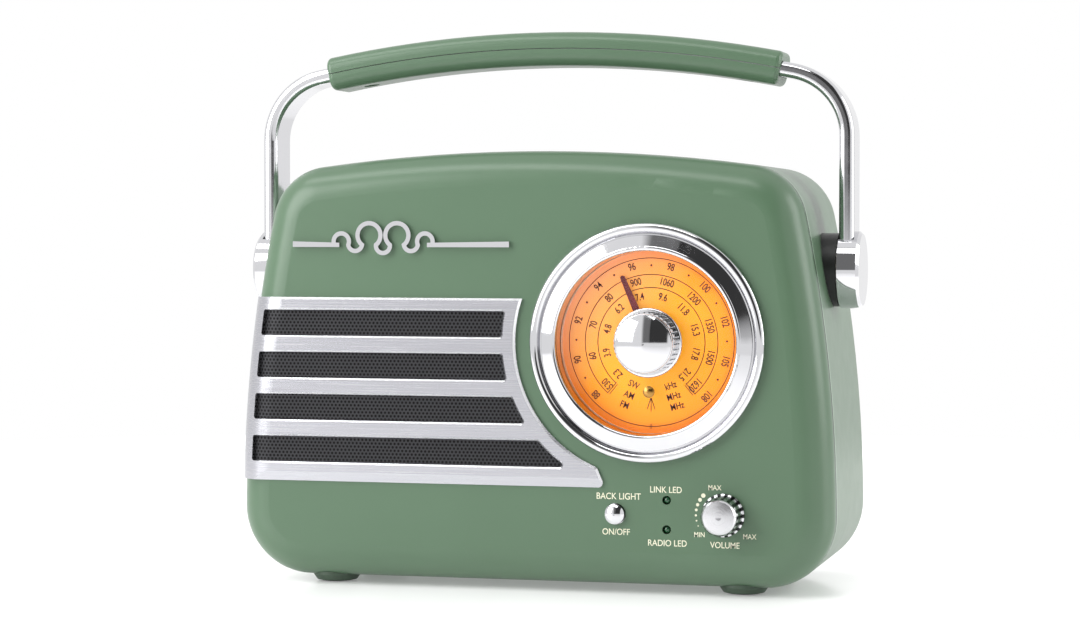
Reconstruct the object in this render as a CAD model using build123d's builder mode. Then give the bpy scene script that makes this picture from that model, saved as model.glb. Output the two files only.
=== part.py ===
from build123d import *
import os
from math import acos, asin, cos, degrees, radians, sin, sqrt

os.makedirs("parts", exist_ok=True)

# A portable tabletop radio. +X is to the radio's right as seen from the front, +Y goes to the back
# and +Z is up. The origin is on the floor, under the centre of the whole object.

# Overall sizes, in millimetres.
body_width = 236.0
body_depth = 98.0
body_top = 169.4
body_bottom = 2.7

# The body's outline: a flat floor, flaring sides, an arched top and rounded corners.
side_radius = 590.0
widest_z = 26.0
arch_radius = 652.0
top_corner = 23.5
bottom_corner = 27.0
front_round = 13.5
rear_round = 10.0
seam_depth = 14.5
wall = 2.5
seam_groove = 0.5
lap_length = 3.0
lap_wall = 1.2
lap_gap = 0.15

# What stands furthest forward is the volume knob, and the back face is the rearmost thing.
volume_reach = 10.9
front_y = (volume_reach - body_depth) / 2
back_y = front_y + body_depth

# The dial.
dial_x = 47.4
dial_z = 96.0
bezel_r = 45.5
bezel_sleeve_r = 34.9
sleeve_wall = 1.2
lens_depth = 4.0
lens_thickness = 1.4
face_depth = 8.4
face_thickness = 0.8
shaft_r = 3.0
shaft_gap = 0.05
pass_gap = 0.5
pointer_angle = 23.7
pointer_length = 26.8
stud_drop = 18.8
flange_r = 13.4
knob_r = 11.8
cap_r = 11.2

# The speaker grille.
grille_top = 112.6
grille_bottom = 40.7
grille_proud = 2.0
grille_wrap = 0.6
grille_edge = 0.8
ledge_height = 3.6
ledge_lean = 1.7
grille_arc_r = 51.3
grille_tip = 3.2
slot_count = 4
slot_height = 10.1
slot_pitch = 16.5
slot_top = 107.7
slot_end_r = 56.8
slot_inset = 5.9
slot_corner = 1.0
slot_bevel = 0.6
window_margin = 1.8
mesh_thickness = 0.8
mesh_gap = 0.1

# The speaker.
speaker_x = -56.3
speaker_z = 77.5
speaker_r = 38.5
speaker_height = 30.0
baffle_thickness = 2.0

# The control row along the bottom.
button_x = 35.2
button_z = 30.7
button_r = 3.8
button_gap = 0.3
button_travel = 0.8
lights_x = 55.2
light_heights = (36.4, 25.2)
light_r = 1.5
light_gap = 0.2
volume_x = 77.1
volume_z = 31.3
volume_r = 8.2

# The handle.
hub_z = 123.4
hub_depth = 47.0
hub_r = 15.0
arm_inset = 0.3
arm_x = body_width / 2 - arm_inset
hub_cover = 5.5
hub_reach = arm_x + hub_cover
arm_thickness = 6.0
arm_depth = 18.5
arm_round = 2.4
bend_r = 25.8
grip_top = 217.2
grip_height = 13.4
grip_depth = 24.0
grip_arch_r = 474.0
grip_inset = 26.0
grip_half = body_width / 2 - grip_inset
grip_seam = 0.3
grip_screw_x = 78.0
bolt_r = 4.0
hub_y = front_y + hub_depth

# The back.
recess_floor = 148.0
recess_depth = 12.0
aerial_x = 74.0
aerial_z = 156.0
aerial_y = back_y - recess_depth / 2
mast_travel = 105.0
mast_overlap = 25.0
mast_length = mast_travel + mast_overlap
mast_r = 3.0
mast_step = 0.5
mast_gap = 0.05
door_width = 84.0
door_height = 30.0
door_z = 16.0
door_thickness = 2.0
door_gap = 0.3
panel_x = -76.0
panel_z = 72.0
panel_width = 50.0
panel_height = 28.0
panel_depth = 3.0
jack_r = 1.8
switch_x = panel_x + 12.0
socket_x = panel_x - 8.0
jack_x = panel_x - 18.0
switch_travel = 4.0

# Feet.
foot_side_inset = 36.0
foot_x = body_width / 2 - foot_side_inset
foot_inset = 17.3
foot_top_r = 9.6
foot_bottom_r = 8.0
pad_height = 0.4


def half_width(z, grow=0.0):
    """Half the body's width at a height, for the outline grown by an amount."""
    return body_width / 2 - side_radius + sqrt((side_radius + grow) ** 2 - (z - widest_z) ** 2)


def arch_height(x, grow=0.0):
    """Height of the arched top before its corners are rounded, for a grown outline."""
    return body_top - arch_radius + sqrt((arch_radius + grow) ** 2 - x**2)


def top_corner_point(grow=0.0):
    """Where the side meets the top: the two arcs are followed in turn until they agree."""
    x = body_width / 2
    for _ in range(40):
        x = half_width(arch_height(x, grow), grow)
    return x, arch_height(x, grow)


def front_plane(depth):
    """A plane facing the viewer, at a depth behind the body's front face."""
    return Plane.XZ.offset(-(front_y + depth))


def back_plane(depth):
    """A plane facing backwards, at a depth in front of the body's back face."""
    return Plane.XZ.offset(-(back_y - depth))


def side_plane(x):
    """A plane facing +X."""
    return Plane.YZ.offset(x)


def turning_plane(x, z):
    """A plane for profiles in (radius, depth behind the front face) about an axis along Y."""
    return Plane(origin=(x, front_y, z), x_dir=(1, 0, 0), z_dir=(0, 0, 1))


def turning_axis(x, z):
    return Axis((x, 0, z), (0, 1, 0))


def dome_point(radius, rim, rise):
    """A point half way along a spherical dome that rises forwards from its rim."""
    sphere = (radius**2 + rise**2) / (2 * rise)
    half = asin(radius / sphere) / 2
    return sphere * sin(half), rim - rise + sphere * (1 - cos(half))


def body_outline(grow):
    """The outline of the front view, grown or shrunk all round."""
    floor_z = body_bottom - grow
    floor_x = half_width(floor_z, grow)
    corner_x, corner_z = top_corner_point(grow)
    middle_z = (floor_z + corner_z) / 2
    middle_x = half_width(middle_z, grow)
    with BuildSketch() as outline:
        with BuildLine():
            Line((-floor_x, floor_z), (floor_x, floor_z))
            ThreePointArc((floor_x, floor_z), (middle_x, middle_z), (corner_x, corner_z))
            ThreePointArc((corner_x, corner_z), (0, body_top + grow), (-corner_x, corner_z))
            ThreePointArc((-corner_x, corner_z), (-middle_x, middle_z), (-floor_x, floor_z))
        make_face()
        fillet(outline.vertices().group_by(Axis.Y)[-1], top_corner + grow)
        fillet(outline.vertices().group_by(Axis.Y)[0], bottom_corner + grow)
    return outline.sketch


def front_form(grow):
    """The solid front half of the body, up to the seam."""
    face = body_outline(grow)
    with BuildPart() as form:
        with BuildSketch(front_plane(seam_depth)):
            add(face)
        extrude(amount=seam_depth + grow)
        fillet(form.faces().sort_by(Axis.Y)[0].edges(), front_round + grow)
    return form.part


def rear_form(grow):
    """The solid rear half of the body, from the seam to the back."""
    face = body_outline(grow)
    with BuildPart() as form:
        with BuildSketch(front_plane(seam_depth)):
            add(face)
        extrude(amount=-(body_depth - seam_depth + grow))
        fillet(form.faces().sort_by(Axis.Y)[-1].edges(), rear_round + grow)
    return form.part


def band(low, high, inset, end_r, corner):
    """A level band that follows the body's left side and ends on an arc around the dial."""
    with BuildSketch() as shape:
        with BuildLine():
            Polyline(
                (-(half_width(low) - inset), low),
                (dial_x, low),
                (dial_x, high),
                (-(half_width(high) - inset), high),
                close=True,
            )
        make_face()
        with Locations((dial_x, dial_z)):
            Circle(end_r, mode=Mode.SUBTRACT)
        fillet(shape.vertices(), corner)
    return shape.sketch


def plate_outline():
    """The grille plate: its right side is an arc around the dial that ends in a rounded tip."""
    left = -(body_width / 2 + 2 * grille_proud + 5)
    top_x = dial_x - sqrt(grille_arc_r**2 - (grille_top - dial_z) ** 2)
    tip_z = grille_bottom + 2.4 * grille_tip
    tip_x = dial_x - sqrt(grille_arc_r**2 - (dial_z - tip_z) ** 2)
    with BuildSketch() as shape:
        with BuildLine():
            Line((left, grille_bottom), (left, grille_top))
            Line((left, grille_top), (top_x, grille_top))
            ThreePointArc((top_x, grille_top), (dial_x - grille_arc_r, dial_z), (tip_x, tip_z))
            Line((tip_x, tip_z), (tip_x + grille_tip, grille_bottom))
            Line((tip_x + grille_tip, grille_bottom), (left, grille_bottom))
        make_face()
        corners = shape.vertices().filter_by_position(Axis.X, tip_x - 1, tip_x + grille_tip + 1)
        fillet(corners.filter_by_position(Axis.Y, grille_bottom - 1, tip_z + 1), 0.6 * grille_tip)
    return shape.sketch


plate = plate_outline()
slots = [
    band(
        slot_top - slot_pitch * row - slot_height,
        slot_top - slot_pitch * row,
        slot_inset,
        slot_end_r,
        slot_corner,
    )
    for row in range(slot_count)
]
bevelled_slots = [
    band(
        slot_top - slot_pitch * row - slot_height - slot_bevel,
        slot_top - slot_pitch * row + slot_bevel,
        slot_inset - slot_bevel,
        slot_end_r - slot_bevel,
        slot_corner + slot_bevel,
    )
    for row in range(slot_count)
]
window_low = slot_top - slot_pitch * (slot_count - 1) - slot_height - window_margin
window_high = slot_top + window_margin
window = band(window_low, window_high, slot_inset - window_margin, slot_end_r - window_margin, 1.5)
mesh_sheet = band(
    window_low + mesh_gap,
    window_high - mesh_gap,
    slot_inset - window_margin + mesh_gap,
    slot_end_r - window_margin + mesh_gap,
    1.4,
)

front_solid = front_form(0)
front_hollow = front_form(-wall)
rear_solid = rear_form(0)
rear_hollow = rear_form(-wall)
grille_skin = front_form(grille_wrap).translate((0, grille_wrap - grille_proud, 0))

# ---------------------------------------------------------------- shells

case_boss_r = 4.5
case_screw_r = 1.5
case_points = []
for boss_z in (33.0, 138.0):
    for side in (-1, 1):
        case_points.append((side * (half_width(boss_z) - 16.0), boss_z))

cup_r = bezel_sleeve_r + sleeve_wall + 1.1
dial_hole_r = cup_r + 0.2
board_depth = 28.0
board_thickness = 1.6
post_r = 3.0
post_points = [
    (dial_x - 34, dial_z + 41),
    (dial_x + 34, dial_z + 41),
    (dial_x - 18, dial_z - 49),
    (dial_x + 18, dial_z - 49),
]
control_depth = 16.0
control_thickness = 1.4
panel_root = wall / 2

with BuildPart() as front_shell:
    add(front_solid)
    add(front_hollow, mode=Mode.SUBTRACT)
    # Bosses for the case screws, and posts for the main board.
    with BuildSketch(front_plane(panel_root)):
        with Locations(*case_points):
            Circle(case_boss_r)
    extrude(amount=-(seam_depth - panel_root))
    with BuildSketch(front_plane(panel_root)):
        with Locations(*post_points):
            Circle(post_r)
    extrude(amount=-(board_depth - panel_root))
    # Two posts carry the control board.
    with BuildSketch(front_plane(panel_root)):
        with Locations((volume_x + 12, volume_z - 7), (button_x - 6, button_z - 8)):
            Circle(2.2)
    extrude(amount=-(control_depth - panel_root))
    # Openings: the dial, the speaker window, the button, the lights and the volume shaft.
    with BuildSketch(front_plane(-1)):
        with Locations((dial_x, dial_z)):
            Circle(dial_hole_r)
    extrude(amount=-(wall + 2), mode=Mode.SUBTRACT)
    with BuildSketch(front_plane(-1)):
        add(window)
    extrude(amount=-(wall + 3), mode=Mode.SUBTRACT)
    with BuildSketch(front_plane(-1)):
        with Locations((button_x, button_z)):
            Circle(button_r + button_gap)
        with Locations(*[(lights_x, z) for z in light_heights]):
            Circle(light_r + light_gap)
        with Locations((volume_x, volume_z)):
            Circle(shaft_r + pass_gap)
    extrude(amount=-(wall + 2), mode=Mode.SUBTRACT)
    # Pilot holes.
    with BuildSketch(front_plane(seam_depth)):
        with Locations(*case_points):
            Circle(case_screw_r)
    extrude(amount=10, mode=Mode.SUBTRACT)
    # A groove all round where the two shells meet.
    with BuildSketch(front_plane(seam_depth)):
        add(body_outline(wall))
        add(body_outline(-seam_groove), mode=Mode.SUBTRACT)
    extrude(amount=seam_groove, mode=Mode.SUBTRACT)
front_shell.part.label = "front_shell"
export_step(front_shell.part, "parts/front_shell.step")

recess_end = aerial_x + 8.0
recess_top = body_top + 10
liner = 2.2
bay_half = door_width / 2
bay_depth = 24.0
bay_wall = 1.6
hinge_pin_r = 0.7
hinge_gap = 0.05
door_axis_z = door_z + door_thickness / 2
door_axis_y = back_y - door_thickness / 2

with BuildPart() as recess_liner:
    add(rear_solid)
    with Locations((recess_end + liner, back_y + 1, recess_floor - liner)):
        Box(
            body_width + 60,
            recess_depth + liner + 1,
            recess_top - recess_floor,
            align=(Align.MAX, Align.MAX, Align.MIN),
            mode=Mode.INTERSECT,
        )

rear_boss_r = 5.6
screw_head_r = 3.3
screw_seat = 6.0
pivot_boss_r = 9.0
pivot_boss_length = 18.0
pivot_boss_x = body_width / 2 - pivot_boss_length

with BuildPart() as pivot_bosses:
    with BuildSketch(side_plane(pivot_boss_x)):
        with Locations((hub_y, hub_z)):
            Circle(pivot_boss_r)
    extrude(amount=pivot_boss_length)
    mirror(about=Plane.YZ)
    add(rear_form(-wall / 2), mode=Mode.INTERSECT)

lap_outer = body_outline(-wall - lap_gap)
lap_inner = body_outline(-wall - lap_gap - lap_wall)
lap_root = body_outline(-wall + 0.2)

with BuildPart() as rear_shell:
    add(rear_solid)
    add(rear_hollow, mode=Mode.SUBTRACT)
    # The lap that slips inside the front shell.
    with BuildSketch(front_plane(seam_depth)):
        add(lap_root)
        add(lap_inner, mode=Mode.SUBTRACT)
    extrude(amount=-4)
    with BuildSketch(front_plane(seam_depth)):
        add(lap_outer)
        add(lap_inner, mode=Mode.SUBTRACT)
    extrude(amount=lap_length)
    # Deep screw bosses, and the pivot bosses with their bolt holes.
    with BuildSketch(front_plane(seam_depth)):
        with Locations(*case_points):
            Circle(rear_boss_r)
    extrude(amount=-(body_depth - seam_depth - wall / 2))
    add(pivot_bosses.part)
    # The battery bay, the sunk connector panel and the aerial recess each have their own walls.
    with Locations((0, back_y - wall / 2, door_z - bay_wall)):
        Box(
            door_width + 2 * bay_wall,
            bay_depth,
            door_height + 2 * bay_wall,
            align=(Align.CENTER, Align.MAX, Align.MIN),
        )
    with Locations((panel_x, back_y - wall / 2, panel_z)):
        Box(
            panel_width + 2 * liner,
            panel_depth + liner - wall / 2,
            panel_height + 2 * liner,
            align=(Align.CENTER, Align.MAX, Align.CENTER),
        )
    add(recess_liner.part)
    with Locations((recess_end, back_y + 1, recess_floor)):
        Box(
            body_width + 60,
            recess_depth + 1,
            recess_top - recess_floor,
            align=(Align.MAX, Align.MAX, Align.MIN),
            mode=Mode.SUBTRACT,
        )
    with Locations((0, back_y + 1, door_z)):
        Box(
            door_width,
            bay_depth - bay_wall + 1,
            door_height,
            align=(Align.CENTER, Align.MAX, Align.MIN),
            mode=Mode.SUBTRACT,
        )
    with BuildSketch(back_plane(panel_depth)):
        with Locations((panel_x, panel_z)):
            RectangleRounded(panel_width, panel_height, 3)
    extrude(amount=-(panel_depth + 1), mode=Mode.SUBTRACT)
    # Sockets for the door's hinge pins.
    with BuildSketch(side_plane(0)):
        with Locations((door_axis_y, door_axis_z)):
            Circle(hinge_pin_r + hinge_gap)
    extrude(amount=bay_half + 1.5, both=True, mode=Mode.SUBTRACT)
    # Holes: case screws, pivot bolts, the aerial screw and what shows on the panel.
    with BuildSketch(back_plane(-1)):
        with Locations(*case_points):
            Circle(screw_head_r + 0.4)
    extrude(amount=body_depth - seam_depth - screw_seat + 1, mode=Mode.SUBTRACT)
    with BuildSketch(front_plane(seam_depth)):
        with Locations(*case_points):
            Circle(case_screw_r + 0.3)
    extrude(amount=-(screw_seat + 1), mode=Mode.SUBTRACT)
    with BuildSketch(side_plane(0)):
        with Locations((hub_y, hub_z)):
            Circle(bolt_r)
    extrude(amount=body_width, both=True, mode=Mode.SUBTRACT)
    with BuildSketch(back_plane(panel_depth)):
        with Locations((switch_x, panel_z)):
            Rectangle(2 * switch_travel + 4, 3.4)
        with Locations((socket_x, panel_z)):
            RectangleRounded(9.4, 3.7, 1.5)
        with Locations((jack_x, panel_z)):
            Circle(3.1)
    extrude(amount=liner + 1, mode=Mode.SUBTRACT)
    with BuildSketch(back_plane(recess_depth)):
        with Locations((aerial_x, aerial_z)):
            Circle(1.6)
    extrude(amount=liner + 1, mode=Mode.SUBTRACT)
rear_shell.part.label = "rear_shell"
export_step(rear_shell.part, "parts/rear_shell.step")

with BuildPart() as case_screws:
    with BuildSketch(front_plane(seam_depth + screw_seat)):
        with Locations(*case_points):
            Circle(screw_head_r)
    extrude(amount=-2.2)
    with BuildSketch(front_plane(seam_depth + screw_seat)):
        with Locations(*case_points):
            Circle(case_screw_r)
    extrude(amount=screw_seat + 9)
    with BuildSketch(front_plane(seam_depth + screw_seat + 2.2)):
        with Locations(*case_points):
            Rectangle(4.0, 0.8)
            Rectangle(0.8, 4.0)
    extrude(amount=1.2, mode=Mode.SUBTRACT)
case_screws.part.label = "case_screws"
export_step(case_screws.part, "parts/case_screws.step")

# ---------------------------------------------------------------- feet

foot_points = [
    (side * foot_x, y) for side in (-1, 1) for y in (front_y + foot_inset, back_y - foot_inset)
]

with BuildPart() as feet:
    with Locations(*[(x, y, pad_height) for x, y in foot_points]):
        Cone(
            foot_bottom_r,
            foot_top_r,
            body_bottom - pad_height,
            align=(Align.CENTER, Align.CENTER, Align.MIN),
        )
    with Locations(*[(x, y, body_bottom) for x, y in foot_points]):
        Cylinder(foot_top_r, 6, align=(Align.CENTER, Align.CENTER, Align.MIN))
    add(front_solid, mode=Mode.SUBTRACT)
    add(rear_solid, mode=Mode.SUBTRACT)
    with Locations(*[(x, y, pad_height) for x, y in foot_points]):
        Cylinder(
            foot_bottom_r - 1.5,
            1.0,
            align=(Align.CENTER, Align.CENTER, Align.MIN),
            mode=Mode.SUBTRACT,
        )
feet.part.label = "feet"
export_step(feet.part, "parts/feet.step")

with BuildPart() as foot_pads:
    with Locations(*[(x, y, 0) for x, y in foot_points]):
        Cylinder(
            foot_bottom_r - 1.6,
            pad_height + 1.0,
            align=(Align.CENTER, Align.CENTER, Align.MIN),
        )
foot_pads.part.label = "foot_pads"
export_step(foot_pads.part, "parts/foot_pads.step")

# ---------------------------------------------------------------- grille and badge

with BuildPart() as plate_block:
    with BuildSketch(front_plane(seam_depth - 1)):
        add(plate)
    extrude(amount=seam_depth - 1 + grille_proud - grille_edge)
    with BuildSketch(front_plane(grille_edge - grille_proud)):
        add(plate)
    extrude(amount=grille_edge, taper=45)

with BuildPart() as grille_frame:
    add(grille_skin)
    add(front_solid, mode=Mode.SUBTRACT)
    add(plate_block.part, mode=Mode.INTERSECT)
    # The plate's lower edge leans back.
    with BuildSketch(side_plane(0)):
        with BuildLine():
            Polyline(
                (front_y - grille_proud, grille_bottom + ledge_height),
                (front_y - grille_proud, grille_bottom - 1),
                (front_y - grille_proud + ledge_lean, grille_bottom - 1),
                close=True,
            )
        make_face()
    extrude(amount=body_width, both=True, mode=Mode.SUBTRACT)
    with BuildSketch(front_plane(wall + 1)):
        for slot in slots:
            add(slot)
    extrude(amount=wall + grille_proud + 2, mode=Mode.SUBTRACT)
    # Each slot's front edge is bevelled.
    with BuildSketch(front_plane(-grille_proud)):
        for row in range(slot_count):
            add(bevelled_slots[row])
    extrude(amount=-slot_bevel, taper=45, mode=Mode.SUBTRACT)
grille_frame.part.label = "grille_frame"
export_step(grille_frame.part, "parts/grille_frame.step")

mesh_outer = front_form(-mesh_gap / 2)
mesh_inner = front_form(-mesh_gap / 2 - mesh_thickness)
with BuildPart() as speaker_mesh:
    add(mesh_outer)
    add(mesh_inner, mode=Mode.SUBTRACT)
    with BuildSketch(front_plane(wall)):
        add(mesh_sheet)
    extrude(amount=wall + 1, mode=Mode.INTERSECT)
speaker_mesh.part.label = "speaker_mesh"
export_step(speaker_mesh.part, "parts/speaker_mesh.step")

# The emblem: a carrier wave between two tapering bars.
badge_low = 132.2
badge_left = -93.7
badge_right = -6.2
bar_height = 1.7
bar_end_height = 2.2
wave_left = -76.6
wave_right = -37.0
wave_peaks = 4
wave_height = 9.0
badge_proud = 1.8

with BuildPart() as badge:
    with BuildSketch(front_plane(0)):
        with BuildLine():
            Polyline(
                (badge_left, badge_low),
                (wave_left + 2, badge_low),
                (wave_left + 2, badge_low + bar_height),
                (badge_left, badge_low + bar_end_height),
                close=True,
            )
        make_face()
        with BuildLine():
            Polyline(
                (wave_right - 2, badge_low),
                (badge_right, badge_low),
                (badge_right, badge_low + bar_end_height),
                (wave_right - 2, badge_low + bar_height),
                close=True,
            )
        make_face()
        # Each half turn of the wave is an arc, higher in the middle than at the ends.
        wave_step = (wave_right - wave_left) / (2 * wave_peaks - 1)
        with BuildLine() as wave_line:
            for turn in range(2 * wave_peaks - 1):
                start = wave_left + turn * wave_step
                swell = 0.35 + 0.65 * sin(radians(180.0 * (turn + 0.5) / (2 * wave_peaks - 1)))
                rise = swell * (wave_height if turn % 2 == 0 else -0.35 * wave_height)
                ThreePointArc(
                    (start, badge_low + bar_height / 2),
                    (start + wave_step / 2, badge_low + bar_height / 2 + rise),
                    (start + wave_step, badge_low + bar_height / 2),
                )
        trace(wave_line.line, line_width=bar_height)
    extrude(amount=badge_proud)
badge.part.label = "badge"
export_step(badge.part, "parts/badge.step")

# ---------------------------------------------------------------- the dial

sleeve_r = bezel_sleeve_r + sleeve_wall

with BuildPart() as dial_bezel:
    with BuildSketch(turning_plane(dial_x, dial_z)):
        with BuildLine():
            Line((sleeve_r, 0), (bezel_r, 0))
            Line((bezel_r, 0), (bezel_r, -0.8))
            ThreePointArc((bezel_r, -0.8), (bezel_r - 1.7, -3.3), (bezel_r - 3.6, -1.8))
            Line((bezel_r - 3.6, -1.8), (bezel_r - 4.0, -1.2))
            Line((bezel_r - 4.0, -1.2), (bezel_r - 4.5, -1.2))
            Line((bezel_r - 4.5, -1.2), (bezel_r - 4.7, -2.0))
            Line((bezel_r - 4.7, -2.0), (bezel_sleeve_r + 1.9, -3.9))
            ThreePointArc(
                (bezel_sleeve_r + 1.9, -3.9),
                (bezel_sleeve_r + 0.7, -4.1),
                (bezel_sleeve_r, -3.2),
            )
            Line((bezel_sleeve_r, -3.2), (bezel_sleeve_r, lens_depth))
            Line((bezel_sleeve_r, lens_depth), (sleeve_r, lens_depth))
            Line((sleeve_r, lens_depth), (sleeve_r, 0))
        make_face()
    revolve(axis=turning_axis(dial_x, dial_z))
dial_bezel.part.label = "dial_bezel"
export_step(dial_bezel.part, "parts/dial_bezel.step")

lens_back = lens_depth + lens_thickness
face_back = face_depth + face_thickness
lamp_depth = face_back + 0.4
light_board_depth = lamp_depth + 0.8
cup_floor = light_board_depth + 1.2 + 0.4
cup_back = cup_floor + 1.6

with BuildPart() as dial_cup:
    with BuildSketch(turning_plane(dial_x, dial_z)):
        Rectangle(cup_r, cup_back - 0.3, align=(Align.MIN, Align.MIN))
    revolve(axis=turning_axis(dial_x, dial_z))
    # Bored out around the bezel's sleeve and the lens, and again behind the dial face.
    with BuildSketch(front_plane(-1)):
        with Locations((dial_x, dial_z)):
            Circle(sleeve_r + 0.1)
    extrude(amount=-(lens_back + 1), mode=Mode.SUBTRACT)
    with BuildSketch(front_plane(-1)):
        with Locations((dial_x, dial_z)):
            Circle(bezel_sleeve_r)
    extrude(amount=-(cup_floor + 1), mode=Mode.SUBTRACT)
    with BuildSketch(front_plane(face_depth)):
        with Locations((dial_x, dial_z)):
            Circle(sleeve_r + 0.1)
    extrude(amount=-(cup_floor - face_depth), mode=Mode.SUBTRACT)
    # A flange behind the shell's wall, and a hole for the shaft.
    with BuildSketch(front_plane(wall)):
        with Locations((dial_x, dial_z)):
            Circle(cup_r + 4.5)
            Circle(cup_r - 0.3, mode=Mode.SUBTRACT)
    extrude(amount=-1.6)
    with BuildSketch(front_plane(cup_floor - 1)):
        with Locations((dial_x, dial_z)):
            Circle(shaft_r + pass_gap)
    extrude(amount=-4, mode=Mode.SUBTRACT)
dial_cup.part.label = "dial_cup"
export_step(dial_cup.part, "parts/dial_cup.step")


def dial_disc(depth, thickness, radius, hole):
    """A round plate across the dial, with a hole for the shaft."""
    with BuildPart() as disc:
        with BuildSketch(front_plane(depth)):
            with Locations((dial_x, dial_z)):
                Circle(radius)
                Circle(hole, mode=Mode.SUBTRACT)
        extrude(amount=-thickness)
    return disc.part


dial_lens = dial_disc(lens_depth, lens_thickness, sleeve_r, shaft_r + pass_gap)
dial_lens.label = "dial_lens"
export_step(dial_lens, "parts/dial_lens.step")

dial_face = dial_disc(face_depth, face_thickness, sleeve_r, shaft_r + pass_gap)
dial_face.label = "dial_face"
export_step(dial_face, "parts/dial_face.step")

backlight_board = dial_disc(light_board_depth, 1.2, sleeve_r, shaft_r + 2)
backlight_board.label = "backlight_board"
export_step(backlight_board, "parts/backlight_board.step")

with BuildPart() as backlight_lamps:
    with BuildSketch(front_plane(light_board_depth)):
        with Locations((dial_x, dial_z)):
            with PolarLocations(21, 8):
                Rectangle(2.8, 3.5)
    extrude(amount=0.8)
backlight_lamps.part.label = "backlight_lamps"
export_step(backlight_lamps.part, "parts/backlight_lamps.step")

with BuildPart() as lens_stud:
    with BuildSketch(turning_plane(dial_x, dial_z - stud_drop)):
        with BuildLine():
            Line((0, lens_depth), (2.3, lens_depth))
            Line((2.3, lens_depth), (2.3, lens_depth - 0.3))
            ThreePointArc(
                (2.3, lens_depth - 0.3),
                dome_point(2.3, lens_depth - 0.3, 0.8),
                (0, lens_depth - 1.1),
            )
            Line((0, lens_depth - 1.1), (0, lens_depth))
        make_face()
    revolve(axis=turning_axis(dial_x, dial_z - stud_drop))
lens_stud.part.label = "lens_stud"
export_step(lens_stud.part, "parts/lens_stud.step")

# What turns: pointer, shaft, knob and cap.
pointer_depth = lens_back + 0.7
pointer_thickness = 0.9
knob_back = lens_depth - 1.1
cap_seat = -5.0
cap_rise = 2.8
shaft_front = cap_seat + 0.8
tuner_depth = cup_back + 0.2
tuner_size = 20.0
tuner_thickness = board_depth - tuner_depth
tuner_bore = 6.0

with BuildPart() as pointer:
    with BuildSketch(front_plane(pointer_depth)):
        with BuildLine():
            Polyline((-1.75, 0), (1.75, 0), (0.9, pointer_length), (-0.9, pointer_length), close=True)
        make_face()
        Circle(5)
        Circle(shaft_r, mode=Mode.SUBTRACT)
        with Locations((0, pointer_length)):
            Circle(0.9)
    extrude(amount=-pointer_thickness)
    pointer.part = pointer.part.rotate(Axis.Y, -pointer_angle).translate((dial_x, 0, dial_z))
pointer.part.label = "pointer"
export_step(pointer.part, "parts/pointer.step")

with BuildPart() as tuning_shaft:
    with BuildSketch(front_plane(shaft_front)):
        with Locations((dial_x, dial_z)):
            Circle(shaft_r)
    extrude(amount=-(tuner_depth + tuner_bore - 0.5 - shaft_front))
tuning_shaft.part.label = "tuning_shaft"
export_step(tuning_shaft.part, "parts/tuning_shaft.step")

knob_teeth = 36
with BuildPart() as tuning_knob:
    with BuildSketch(turning_plane(dial_x, dial_z)):
        with BuildLine():
            Line((0, knob_back), (flange_r, knob_back))
            Line((flange_r, knob_back), (flange_r, knob_back - 0.9))
            ThreePointArc(
                (flange_r, knob_back - 0.9),
                (flange_r - 0.35, knob_back - 1.55),
                (flange_r - 1.0, knob_back - 1.8),
            )
            Line((flange_r - 1.0, knob_back - 1.8), (knob_r, knob_back - 1.8))
            Line((knob_r, knob_back - 1.8), (knob_r, cap_seat))
            Line((knob_r, cap_seat), (0, cap_seat))
            Line((0, cap_seat), (0, knob_back))
        make_face()
    revolve(axis=turning_axis(dial_x, dial_z))
    with BuildSketch(front_plane(cap_seat - 1)):
        with Locations((dial_x, dial_z)):
            with PolarLocations(knob_r + 0.15, knob_teeth):
                Circle(0.55)
    extrude(amount=-(knob_back - 2.2 - cap_seat + 1), mode=Mode.SUBTRACT)
    with BuildSketch(front_plane(knob_back + 1)):
        with Locations((dial_x, dial_z)):
            Circle(shaft_r)
    extrude(amount=knob_back + 1 - shaft_front, mode=Mode.SUBTRACT)
tuning_knob.part.label = "tuning_knob"
export_step(tuning_knob.part, "parts/tuning_knob.step")

with BuildPart() as tuning_knob_cap:
    with BuildSketch(turning_plane(dial_x, dial_z)):
        with BuildLine():
            Line((0, cap_seat), (cap_r, cap_seat))
            Line((cap_r, cap_seat), (cap_r, cap_seat - 0.7))
            ThreePointArc(
                (cap_r, cap_seat - 0.7),
                (cap_r - 0.2, cap_seat - 1.0),
                (cap_r - 0.6, cap_seat - 1.1),
            )
            ThreePointArc(
                (cap_r - 0.6, cap_seat - 1.1),
                dome_point(cap_r - 0.6, cap_seat - 1.1, cap_rise),
                (0, cap_seat - 1.1 - cap_rise),
            )
            Line((0, cap_seat - 1.1 - cap_rise), (0, cap_seat))
        make_face()
    revolve(axis=turning_axis(dial_x, dial_z))
tuning_knob_cap.part.label = "tuning_knob_cap"
export_step(tuning_knob_cap.part, "parts/tuning_knob_cap.step")

with BuildPart() as tuning_capacitor:
    with BuildSketch(front_plane(tuner_depth)):
        with Locations((dial_x, dial_z)):
            RectangleRounded(tuner_size, tuner_size, 1.5)
    extrude(amount=-tuner_thickness)
    with BuildSketch(front_plane(tuner_depth)):
        with Locations((dial_x, dial_z)):
            Circle(shaft_r + shaft_gap)
    extrude(amount=-tuner_bore, mode=Mode.SUBTRACT)
tuning_capacitor.part.label = "tuning_capacitor"
export_step(tuning_capacitor.part, "parts/tuning_capacitor.step")

# ---------------------------------------------------------------- boards

with BuildPart() as main_board:
    with BuildSketch(front_plane(board_depth)):
        with Locations((dial_x - 2, dial_z - 4)):
            RectangleRounded(82, 98, 2)
    extrude(amount=-board_thickness)
main_board.part.label = "main_board"
export_step(main_board.part, "parts/main_board.step")

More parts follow.
